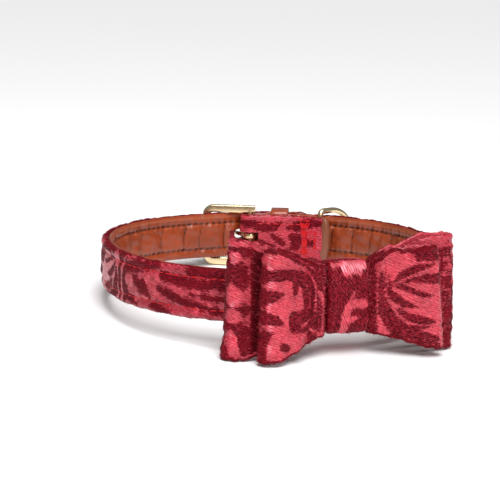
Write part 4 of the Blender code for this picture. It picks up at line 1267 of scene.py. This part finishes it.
# %% Knot
def make_knot():
    slope, back = strap_behind_knot()
    front, clear = KNOT_FRONT - GAP, WAIST_BACK + GAP
    path = rounded_box(front, back, WAIST + GAP, KNOT_CORNER, 8, 44, 12)
    aside = left_of(unit(np.roll(path, -1, axis=0) - np.roll(path, 1, axis=0))) * -KNOT_THICK
    full = smooth((-1.0, -0.88, -0.5, 0.0, 0.5, 0.88, 1.0),
                  (0.45, 0.9, 1.0, 1.06, 1.0, 0.9, 0.45))
    free, seam = np.linspace(-1, 1, 35), np.linspace(0.97, -0.97, 8)
    across = np.concatenate([free, seam])[None, :]
    fullness = np.concatenate([full(free), seam * 0])[None, :]
    y, z = path[:, 0, None], path[:, 1, None]
    x = BOW_X + across * KNOT_WIDTH / 2 + 0 * y
    steps = np.hypot(*(np.roll(path, -1, axis=0) - path).T)
    far = np.concatenate([[0.0], np.cumsum(steps)[:-1]])
    middle = int(np.argmin(np.abs(path[:, 1]) + 100 * (path[:, 0] > 0)))
    v = (far[middle] - far)[:, None] + 0 * x
    uneven = 0.05 * lumps(x, v, 6, 51) + 0.03 * lumps(x * 2.2, v, 4, 52)
    rise = fullness + np.where(fullness > 0.3, uneven, 0.0)
    to_strap = ease((y - clear) / (back - clear))
    sag = 0.05 * ease((y - front) / 9) * (z > 0) - 0.04 * (z < 0)
    point_y = y + slope * x * to_strap + aside[:, 0, None] * rise
    point_z = z * (1 - 0.08 * to_strap - sag) + aside[:, 1, None] * rise
    centre = BOW_CENTRE_Z + (MIDDLE - BOW_CENTRE_Z) * to_strap
    points = np.stack([x, point_y, centre + point_z], axis=-1)
    leaves = np.where(np.abs(v) < 15, -distance_to(KNOT_LIGHT, x, v), repeat_motif(x + 20, v))
    return band("bow_knot_cloth", points, (x, v), leaves, BROCADE, knot_wear_and_light(across, x, v),
                closed=True, grain=(-62.0, -50.0))


def knot_wear_and_light(across, x, v):
    # The side and upper edges are darkened as wear and painted shade, and the polished patch is a
    # painted highlight.
    sides = ease((np.abs(across) - 0.84) / 0.14)
    top_edge = 1.2 * ease((v - 12.1) / 0.8) * ease((18 - v) / 3)
    polished_highlight = ease((x + 3.0) / 0.8) * ease((7.6 - x) / 0.8) * bell((v - 10.4) / 1.8)
    return np.maximum(sides, top_edge) * 0.8 * (1 - polished_highlight) - 0.66 * polished_highlight


bow_knot = make_knot()

# %% [markdown]
# The buckle, its prong and the lead ring are polished gold-plated castings. A plain metallic
# material would look like a perfect mirror. Plating is never quite clean, so its colour and
# gloss drift a little in clouds, and fine scratches run through it.

# %% Gold
def gold_plate():
    made = begin("gold", Metallic=1.0)
    place = object_place()
    cloud = noise(place, 260.0, 3.0, 0.6)
    scratch = noise(stretch(place, 60.0, 60.0, 900.0), 1.0, 2.0, 0.6)
    return feed(made, Base_Color=mix(cloud, rgb(232, 206, 158), rgb(244, 224, 182)),
                Roughness=cloud * 0.12 + 0.2, Normal=bump(scratch, 0.01 * MM, 0.3))


GOLD = gold_plate()

# %% [markdown]
# The prong is a round rod. It starts at a slightly blunt tip that rests on the frame, bends
# down through the strap's slot and ends at an eye, a short wide ring that turns on the heel
# bar. Rod and eye are one piece of metal, but where they meet is hidden in the fold of the
# strap, so here they are simply two skins in one mesh.

# %% Prong
PRONG_RADIUS, EYE_INNER, EYE_OUTER, EYE_HALF = 0.95, 1.69, 2.9, 1.5
Bend = namedtuple("Bend", "along depth")
PRONG_BENDS = [Bend(-23.3, -4.9), Bend(-20, -5.3), Bend(-13, -5.4), Bend(-8, -5.1),
               Bend(-5.5, -3.7), Bend(-4.4, -1.3), Bend(-2.9, 1.1), Bend(-0.8, 2.6)]


def full_turn(count):
    """Angles that share a full turn evenly."""
    return 2 * math.pi * np.arange(count) / count


def make_rod():
    tip, heel = PRONG_BENDS[0].along, PRONG_BENDS[-1].along
    stops = np.linspace(tip, heel, 70)
    centre = neck_at(stops, smooth(*zip(*PRONG_BENDS))(stops))
    aside = left_of(unit(np.gradient(centre, axis=0)))[:, None, :]
    from_tip = np.clip((stops - tip) / 1.2, 0, 1)
    radius = (PRONG_RADIUS * np.sqrt(1 - 0.75 * (1 - from_tip) ** 2))[:, None]
    turn = full_turn(20)
    level = centre[:, None, :] + aside * (radius * np.cos(turn))[..., None]
    height = MIDDLE + radius * np.sin(turn)
    return tube_skin(np.concatenate([level, height[..., None]], axis=2))


def make_eye():
    bar = neck_at(0.0, HEEL_DEPTH)
    ease_in = EYE_OUTER - 0.3
    profile = [(1.85, -EYE_HALF), (ease_in, -EYE_HALF), (EYE_OUTER, -1.2), (EYE_OUTER, 1.2),
               (ease_in, EYE_HALF), (1.85, EYE_HALF), (EYE_INNER, 1.35), (EYE_INNER, -1.35)]
    ring = [[(bar[0] + r * math.cos(t), bar[1] + r * math.sin(t), MIDDLE + h)
             for r, h in profile] for t in full_turn(48)]
    return tube_skin(np.array(ring), closed=True)


def make_prong():
    skin = make_rod()
    join(skin, make_eye())
    return finished("prong_gold", skin, GOLD)


prong = make_prong()

# %% [markdown]
# The buckle's frame is one flat bar with softened edges, bent to three sides with round
# corners and closed by the heel bar, a plain round rod. A bevelled box would round all edges
# alike, while a section along a path keeps the flat faces that catch the light.

# %% Buckle frame
WINDOW_HALF, FRAME_NEAR, FRAME_FAR, FRAME_CORNER = FRAME_WINDOW / 2, -2.25, 20.0, 5.0
FRAME_THICK_HALF, EDGE_SIDE, EDGE_FLAT = 1.2, 0.75, 0.6
HEEL_RADIUS = 1.35


def frame_path():
    """Half the frame and its mirror image, as (ahead, up, and the bar's outward direction)."""
    half, radius = WINDOW_HALF + FRAME_BAR / 2, FRAME_CORNER - FRAME_BAR / 2
    bend = FRAME_FAR - radius
    path = [(a, -half, 0, -1) for a in np.linspace(FRAME_NEAR, bend, 24)]
    path += [(bend + radius * math.sin(t), -half + radius - radius * math.cos(t),
              math.sin(t), -math.cos(t)) for t in np.linspace(0, math.pi / 2, 14)[1:-1]]
    near_half = len(path)
    path += [(FRAME_FAR, z, 1, 0) for z in np.linspace(radius - half, half - radius, 20)]
    path += [(a, -z, n, -m) for a, z, n, m in path[:near_half + 1][::-1]]
    return path


def frame_section():
    """A flat bar's section, its four edges rounded as quarter ellipses."""
    shape = []
    for quarter, (sx, sy) in enumerate(((1, 1), (-1, 1), (-1, -1), (1, -1))):
        for t in np.linspace(0, math.pi / 2, 6) + quarter * math.pi / 2:
            shape.append((sx * (FRAME_BAR / 2 - EDGE_SIDE) + EDGE_SIDE * math.cos(t),
                          sy * (FRAME_THICK_HALF - EDGE_FLAT) + EDGE_FLAT * math.sin(t)))
    return shape


def make_frame():
    heel = neck_at(0.0, HEEL_DEPTH)
    ahead = unit(neck_at(-20.0, -2.5) - heel)
    out = -left_of(ahead)
    points = []
    for a, z, level, upright in frame_path():
        points.append([[*(heel + ahead * (a + level * s) + out * b), MIDDLE + z + upright * s]
                       for s, b in frame_section()])
    skin = tube_skin(np.array(points))
    rod_half = WINDOW_HALF + FRAME_BAR / 2
    rod = [[(heel[0] + HEEL_RADIUS * math.cos(t), heel[1] + HEEL_RADIUS * math.sin(t),
             MIDDLE + z) for t in full_turn(32)] for z in np.linspace(-rod_half, rod_half, 8)]
    join(skin, tube_skin(np.array(rod)))
    return finished("buckle_gold", skin, GOLD)


buckle = make_frame()

# %% [markdown]
# The lead ring is a D of round wire. Its straight side is held in the fold of the strap, and
# the rest swings out from it. Half a torus and a rod would leave a seam at each corner, so
# the wire follows one closed path with a small bend there.

# %% Lead ring
RING_AT, RING_WIRE, RING_REACH, RING_SWING = 34.5, 2.6, 18.5, math.radians(58.0)
RING_INSIDE, RING_BEND = 21.6, 2.0


def ring_path():
    """The D's centre line: the straight side, a bend, the half-oval, and the other bend."""
    half = RING_INSIDE / 2 + RING_WIRE / 2
    leg = RING_REACH - half
    path = [(0.0, z) for z in np.linspace(RING_BEND - half, half - RING_BEND, 16)]
    bend = [(RING_BEND - RING_BEND * math.cos(t), half - RING_BEND + RING_BEND * math.sin(t))
            for t in np.linspace(0, math.pi / 2, 8)[1:]]
    oval = [(leg + (RING_REACH - leg) * math.cos(t), half * math.sin(t))
            for t in np.linspace(math.pi / 2, -math.pi / 2, 52)]
    return np.array(path + bend + oval + [(a, -z) for a, z in bend[::-1]])


def make_ring():
    low, high = STRAP_THICK, float(PLY_CURVES[0](RING_AT)) - GAP / 2 - 1.0
    bar, out = neck_at(RING_AT, (low + high) / 2), outward(RING_AT)
    ahead = -left_of(out)
    far = ahead * math.cos(RING_SWING) + out * math.sin(RING_SWING)
    across = out * math.cos(RING_SWING) - ahead * math.sin(RING_SWING)
    path = ring_path()
    along = unit(np.roll(path, -1, axis=0) - np.roll(path, 1, axis=0))
    points = []
    for (a, z), (da, dz) in zip(path, along):
        ring = []
        for t in full_turn(20):
            side, lift = RING_WIRE / 2 * math.cos(t), RING_WIRE / 2 * math.sin(t)
            spot = bar + far * (a + dz * side) + across * lift
            ring.append([*spot, MIDDLE + z - da * side])
        points.append(ring)
    return finished("lead_ring_gold", tube_skin(np.array(points), closed=True), GOLD)


lead_ring = make_ring()

# %% [markdown]
# The keeper is the leather loop that holds the tail down. It is a rounded rectangle round
# all layers of the strap. Its section is drawn with both edges rounded, because a bevel
# would need a sharp edge first.

# %% Keeper
KEEPER_AT, KEEPER_WIDE, KEEPER_THICK = 14.0, 8.0, 1.2
COVER_PUFF = 1.05


def make_keeper():
    clear = GAP + 0.15 + KEEPER_THICK
    low = -(STRAP_THICK + clear)
    high = 1.75 + GAP / 2 + 2.0 * COVER_PUFF + clear
    half = MIDDLE + GAP + KEEPER_THICK
    outside = rounded_box(low, high, half, 2.3, 6, 30, 14)
    inside = rounded_box(low + KEEPER_THICK, high - KEEPER_THICK, half - KEEPER_THICK, 1.1,
                         6, 30, 14)
    out = outward(KEEPER_AT)
    ahead = -left_of(out) * KEEPER_WIDE
    spot = neck_at(KEEPER_AT, 0.0)
    rim = [(0.0, -0.44), (0.0, -0.22), (0.0, 0.0), (0.0, 0.22), (0.0, 0.44), (0.12, 0.482),
           (0.5, 0.5), (0.88, 0.482), (1.0, 0.44), (1.0, 0.0), (1.0, -0.44), (0.88, -0.482),
           (0.5, -0.5), (0.12, -0.482)]
    points = []
    for (b_out, z_out), (b_in, z_in) in zip(outside, inside):
        points.append([[*(spot + out * (b_out + (b_in - b_out) * t) + ahead * share),
                        MIDDLE + z_out + (z_in - z_out) * t] for t, share in rim])
    return finished("keeper_leather", tube_skin(np.array(points), closed=True), LEATHER)


keeper = make_keeper()

# %% [markdown]
# At the folded-back end the leather is turned over the cloth and shows as a narrow rolled
# edge. Only its outside is seen, so it is a flattened bar that stands across the strap.

# %% Rolled edge
ROLL_AT, ROLL_DEPTH_AT = 38.9, 38.2
ROLL_HALF = 9.5


def flattened(turn_value, half):
    """A coordinate of a super-ellipse, a little boxier than a circle."""
    return np.sign(turn_value) * np.abs(turn_value) ** 0.8 * half


def make_rolled_edge():
    height = MIDDLE - ROLL_HALF * np.cos(np.linspace(0.0, math.pi, 40))
    swell = np.sqrt(np.clip(1 - ((height - MIDDLE) / (ROLL_HALF + 0.12)) ** 6, 0.02, 1.0))
    turn = full_turn(28)
    ahead, out = flattened(np.cos(turn), 2.3), flattened(np.sin(turn), 1.75)
    depth = float(PLY_CURVES[0](ROLL_DEPTH_AT)) + 0.65
    points = []
    for z, size in zip(height, swell):
        along = ROLL_AT - 1.2 * ((z - 11) / 9) ** 2 + ahead * size + 0.1 * math.sin(z * 1.1)
        level = neck_at(along, depth + out * size)
        points.append(np.concatenate([level, np.full((len(turn), 1), z)], axis=1))
    return finished("rolled_edge_leather", tube_skin(np.array(points)), RAW_EDGE)


rolled_edge = make_rolled_edge()

# %% [markdown]
# A stitch is a grain-shaped piece of thread from one needle hole to the next. There are
# hundreds of them, so one small grain of a few dozen faces is modelled. Instances would keep
# the file light too, but a row of stitches is wanted as one mesh, so the grain is copied to
# its places by doubling.

# %% Thread and its places
def thread(name, colour):
    made = begin(name, Specular_IOR_Level=0.4, Roughness=0.45)
    twist = noise(object_place(), 2400.0, 2.0, 0.6)
    return feed(made, Base_Color=mix(twist, shade(colour, 0.7), colour),
                Normal=bump(twist, 0.08 * MM, 0.7))


RED_THREAD = thread("red thread", rgb(206, 4, 20))
BROWN_THREAD = thread("brown thread", rgb(66, 28, 18))


def on_strap(along, z, layer, lift):
    """A point on a face of the strap: the cover, the lining or the folded ply's cover."""
    depth, cover, lining = PLY_CURVES if layer == "ply" else MAIN_CURVES
    place = (z - MIDDLE) / MIDDLE
    side = 1.0 if layer == "cover" else -1.0
    thickness = (lining(along) * LINING_FULL(place) if layer == "lining"
                 else cover(along) * COVER_FULL(place))
    level = neck_at(along, depth(along)) + outward(along) * side * (GAP / 2 + thickness + lift)
    return [float(level[0]), float(level[1]), float(z)]


def copies(shape, places):
    """One skin with a copy of the shape at each place: it is doubled until there are enough."""
    number = shape.verts.layers.int.new("copy")
    count = 1
    while count < len(places):
        doubled = bmesh.ops.duplicate(shape, geom=shape.verts[:] + shape.edges[:] +
                                      shape.faces[:])
        for vert in doubled["geom"]:
            if isinstance(vert, bmesh.types.BMVert):
                vert[number] += count
        count *= 2
    spare = [vert for vert in shape.verts if vert[number] >= len(places)]
    bmesh.ops.delete(shape, geom=spare, context="VERTS")
    for vert in shape.verts:
        vert.co = places[vert[number]] @ vert.co
    return shape


def turned_to(direction):
    """The turn that stands a shape's Z axis along a direction."""
    return direction.to_track_quat("Z", "Y").to_matrix().to_4x4()


def stitches(name, pairs, finish, thick):
    grain = bmesh.new()
    bmesh.ops.create_uvsphere(grain, u_segments=7, v_segments=6, radius=1.0)
    places = []
    for start, end in pairs:
        a, b = Vector(on_table(start)), Vector(on_table(end))
        size = Matrix.Diagonal((thick * MM, thick * MM, (b - a).length / 2 + 0.1 * MM, 1.0))
        places.append(Matrix.Translation((a + b) / 2) @ turned_to(b - a) @ size)
    return finished(name, copies(grain, places), finish, 80.0)

# %% [markdown]
# Two rows of bright red running stitches hold the cover along the whole strap and on its
# folded-back end. No two of them sit quite alike, so each drifts a little.

# %% Running stitches
COVER_ROWS, STITCH_STEP, STITCH_LONG = (4.0, 16.0), 3.9, 3.1
dice = np.random.default_rng(71)
runs = []
for z in COVER_ROWS:
    for along in np.arange(6.0, NECK_LENGTH + TAIL_LENGTH - TIP_LENGTH, STITCH_STEP):
        drift = dice.uniform(-0.12, 0.12, 2)
        runs.append((on_strap(along, z + drift[0], "cover", 0.04),
                     on_strap(along + STITCH_LONG, z + drift[1], "cover", 0.04)))
for z in COVER_ROWS:
    for along in np.arange(3.0, 24.0, STITCH_STEP):
        runs.append((on_strap(along, z, "ply", 0.04),
                     on_strap(along + STITCH_LONG, z, "ply", 0.04)))
cover_stitches = stitches("running_stitches", runs, RED_THREAD, 0.26)

# %% [markdown]
# The folded-back end is held by bar tacks: bundles of long red threads that run across the
# strap from hole to hole, thick where they are many. Each spreads towards its ends.

# %% Bar tacks
Tack = namedtuple("Tack", "along spread holes threads")
TACKS = [Tack(27.6, 2.1, (1.4, 2.4, 6.0, 10.3, 14.0, 17.6, 18.8), 16),
         Tack(33.6, 0.9, (5.2, 8.0, 11.4, 14.4), 3),
         Tack(31.0, 0.5, (8.8, 11.6, 15.0), 2)]
tacks = []
for tack in TACKS:
    for low, high in zip(tack.holes, tack.holes[1:]):
        for part in np.linspace(-1, 1, tack.threads):
            sway = dice.uniform(-0.3, 0.3, 4)
            start, end = [part * tack.spread * (0.5 + 0.9 * abs(z - 9.0) / 9)
                          for z in (low, high)]
            tacks.append((on_strap(tack.along + start * 0.7 + sway[0], low + sway[2], "ply",
                                   0.14),
                          on_strap(tack.along + end + sway[1], high + sway[3] - 0.35, "ply",
                                   0.14)))
bar_tacks = stitches("bar_tacks", tacks, RED_THREAD, 0.22)

# %% [markdown]
# Dark stitches sit in the two valleys of the lining. They are shorter and a little closer
# than the red ones, and hold the wadding in its rolls.

# %% Lining stitches
rows = []
for z in (4.3, 15.7):
    for along in np.arange(22.0, NECK_LENGTH - 4.0, 3.5):
        rows.append((on_strap(along, z, "lining", 0.02),
                     on_strap(along + 1.7, z + dice.uniform(-0.1, 0.1), "lining", 0.02)))
lining_stitches = stitches("lining_stitches", rows, BROWN_THREAD, 0.24)

# %% [markdown]
# Cut brocade frays: short fibres stand out of every edge and a few out of the face. A hair
# system would grow them, but they have to be a mesh in the end, so they are thin straight
# spikes, scattered over the cloth with more of them near its edges. On the bow longer hairs
# lie on the cloth, nearly along the threads, and break up its highlights.

# %% Frayed fibres
Fibres = namedtuple("Fibres", "name cloth count edge_of seed finish long lay",
                    defaults=(1.1, None))


def fibre_lean(fibres, normal, dice):
    """The direction of one fibre: off the cloth, or on it near the direction of its lay."""
    if fibres.lay is None:
        return Vector(normal + dice.normal(0, 0.75, 3)).normalized()
    level = fibres.lay - normal * np.dot(fibres.lay, normal)
    return Vector(level + dice.normal(0, 0.22, 3) + normal * 0.1).normalized()


def fray(fibres):
    dice = np.random.default_rng(fibres.seed)
    data = fibres.cloth.data
    spots, normals = read(data.vertices, "co", 3), read(data.vertices, "normal", 3)
    height = read(data.attributes["cloth_v"].data, "value")
    weight = fibres.edge_of(height, spots)
    chosen = dice.choice(len(spots), fibres.count, p=weight / weight.sum())
    spike = bmesh.new()
    bmesh.ops.create_cone(spike, cap_ends=True, segments=3, radius1=1.0, radius2=0.35,
                          depth=1.0)
    places = []
    for index in chosen:
        lean = fibre_lean(fibres, normals[index], dice)
        length = dice.uniform(0.4, 1.0) * fibres.long * MM
        thick = dice.uniform(0.035, 0.07) * MM
        aside = Vector(normals[index]).orthogonal().normalized()
        aside.rotate(Quaternion(normals[index], dice.uniform(0, 6.28)))
        start = Vector(spots[index]) + aside * dice.uniform(0, 0.5) * MM
        places.append(Matrix.Translation(start + lean * length * 0.35) @ turned_to(lean) @
                      Matrix.Diagonal((thick, thick, length, 1.0)))
    return finished(fibres.name, copies(spike, places), fibres.finish, 80.0)


print("a fringe is told by", *Fibres._fields)

# %% [markdown]
# Where fibres grow is a weight for each point of the cloth. Edges have most, the cloth
# beside the knot has its own pale fluff, and the lying hairs are spread evenly.

# %% Where the fibres are
def from_knot(spots):
    """How far each point stands to the side of the bow's middle, in millimetres."""
    return np.abs(spots[:, 0] / MM - COLLAR_AT[0] - BOW_X)


def wing_edge(height, spots):
    return 0.06 + (np.abs(height) > 12.5 + 6.5 * ease((from_knot(spots) - 9) / 18))


def beside_knot(height, spots):
    front = spots[:, 1] / MM < COLLAR_AT[1] - 2.5
    return 1e-6 + bell((from_knot(spots) - 10.5) / 2.2) * front


# The knot's pale fibres gather on its upper half, partly as fluff and partly as a painted highlight
# there.
def knot_top(height, spots):
    return 0.2 + ease((height - 3) / 5) * (height < 14)


def strap_edge(height, spots):
    return 0.04 + (np.abs(height - MIDDLE) > 9.2)


def everywhere(height, spots):
    return np.ones(len(height))


LEVEL, STEEP = np.array([0.94, 0.0, -0.34]), np.array([0.47, 0.0, -0.88])
DARK_FIBRE = thread("dark fibre", rgb(136, 18, 36))
MIDDLE_FIBRE = thread("middle fibre", rgb(178, 38, 56))
PALE_FIBRE = thread("pale fibre", rgb(226, 96, 112))
FRINGES = [
    Fibres("bow_front_fibres", bow_front, 1800, wing_edge, 81, DARK_FIBRE),
    Fibres("bow_rear_fibres", bow_rear, 1800, wing_edge, 82, DARK_FIBRE),
    Fibres("bow_knot_fibres", bow_knot, 500, knot_top, 83, PALE_FIBRE, 0.8),
    Fibres("bow_front_hair", bow_front, 5000, everywhere, 87, MIDDLE_FIBRE, 2.2, LEVEL),
    Fibres("bow_rear_hair", bow_rear, 5000, everywhere, 88, MIDDLE_FIBRE, 2.2, LEVEL),
    Fibres("bow_knot_hair", bow_knot, 1100, everywhere, 89, MIDDLE_FIBRE, 2.0, STEEP),
    Fibres("strap_fibres", strap_cover, 2400, strap_edge, 84, DARK_FIBRE, 0.9),
    Fibres("bow_waist_fibres", bow_front, 700, beside_knot, 85, PALE_FIBRE, 0.7)]
FRAY = {fibres.name: fray(fibres) for fibres in FRINGES}

# %% [markdown]
# List which new pieces are sheets of cloth or leather, each with the model piece it stands
# for, the size of its flat cut, and the stitches and fibres that belong to it, and hide the
# plain model pieces that the new ones stand for.

# %% The model's pieces hidden
Sheet = namedtuple("Sheet", "made node flat with_pieces")
SHEETS = [
    Sheet(strap_cover, "strap_cover", (0.026, 0.52),
          [FRAY["strap_fibres"], cover_stitches, bar_tacks]),
    Sheet(strap_lining, "strap_lining", (0.024, 0.51), [lining_stitches, rolled_edge]),
    Sheet(bow_front, "bow_front", (0.040, 0.155),
          [FRAY["bow_front_fibres"], FRAY["bow_waist_fibres"], FRAY["bow_front_hair"]]),
    Sheet(bow_rear, "bow_rear", (0.043, 0.190),
          [FRAY["bow_rear_fibres"], FRAY["bow_rear_hair"]]),
    Sheet(bow_knot, "bow_knot", (0.0165, 0.088),
          [FRAY["bow_knot_fibres"], FRAY["bow_knot_hair"]])]
for sheet in SHEETS:
    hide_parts(sheet.node)
for made, node in ((prong, "buckle_prong"), (buckle, "buckle_frame"),
                   (lead_ring, "lead_ring"), (keeper, "keeper")):
    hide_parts(node)
print(len(SHEETS), "sheets and 4 solid pieces stand for the model's")

# %% [markdown]
# The collar lies on a plain white table, so large that its edge is never seen. It needs no
# more than one square.

# %% Floor
def make_floor():
    skin = bmesh.new()
    bmesh.ops.create_grid(skin, x_segments=1, y_segments=1, size=6.0)
    made = begin("floor", Roughness=0.6)
    feed(made, Base_Color=mix(noise(object_place(), 3.0), (0.95, 0.95, 0.96, 1),
                              (0.97, 0.97, 0.98, 1)))
    floor = bpy.data.objects.new("floor", mesh_of("floor", skin, made))
    bpy.context.scene.collection.objects.link(floor)


make_floor()

# %% [markdown]
# A wide, very soft light from above does most of the work, as in a studio. Three soft
# boxes, in front of the bow and over it, draw the sheen on the satin and the gold, and a
# faint white surrounding fills the shadows.

# %% Light
BOW_MIDDLE, BOW_TOP = (0, -0.05, 0.02), (0, -0.06, 0.02)


def place_lamp(name, data, rotation, spot=(0.0, 0.0, 0.0)):
    lamp = bpy.data.objects.new(name, data)
    lamp.location = spot
    lamp.rotation_euler = rotation
    bpy.context.scene.collection.objects.link(lamp)
    print(name, "has strength", round(data.energy, 2))


def soft_box(name, spot, target, size, power):
    data = bpy.data.lights.new(name, "AREA")
    data.shape, data.size, data.energy = "SQUARE", size, power
    back = Vector(spot) - Vector(target)
    place_lamp(name, data, back.to_track_quat("Z", "Y").to_euler(), spot)


def sky_light(name, azimuth, elevation, strength, softness):
    data = bpy.data.lights.new(name, "SUN")
    data.energy, data.angle = strength, math.radians(softness)
    place_lamp(name, data, (math.radians(90 - elevation), 0.0, math.radians(azimuth)))


soft_box("front box", (0.05, -0.95, 0.3), BOW_MIDDLE, 0.4, 1.9)
soft_box("strip box", (-0.3, -0.55, 0.7), BOW_MIDDLE, 0.2, 0.8)
soft_box("top box", (0.0, -0.12, 0.85), BOW_TOP, 0.25, 2.6)
sky_light("overhead", -6, 57, 2.85, 38)
world = bpy.data.worlds.new("world")
world.use_nodes = True
world.node_tree.nodes["Background"].inputs["Color"].default_value = (1, 1, 1, 1)
world.node_tree.nodes["Background"].inputs["Strength"].default_value = 0.2
bpy.context.scene.world = world
bpy.context.scene.view_settings.view_transform = "Standard"

# %% [markdown]
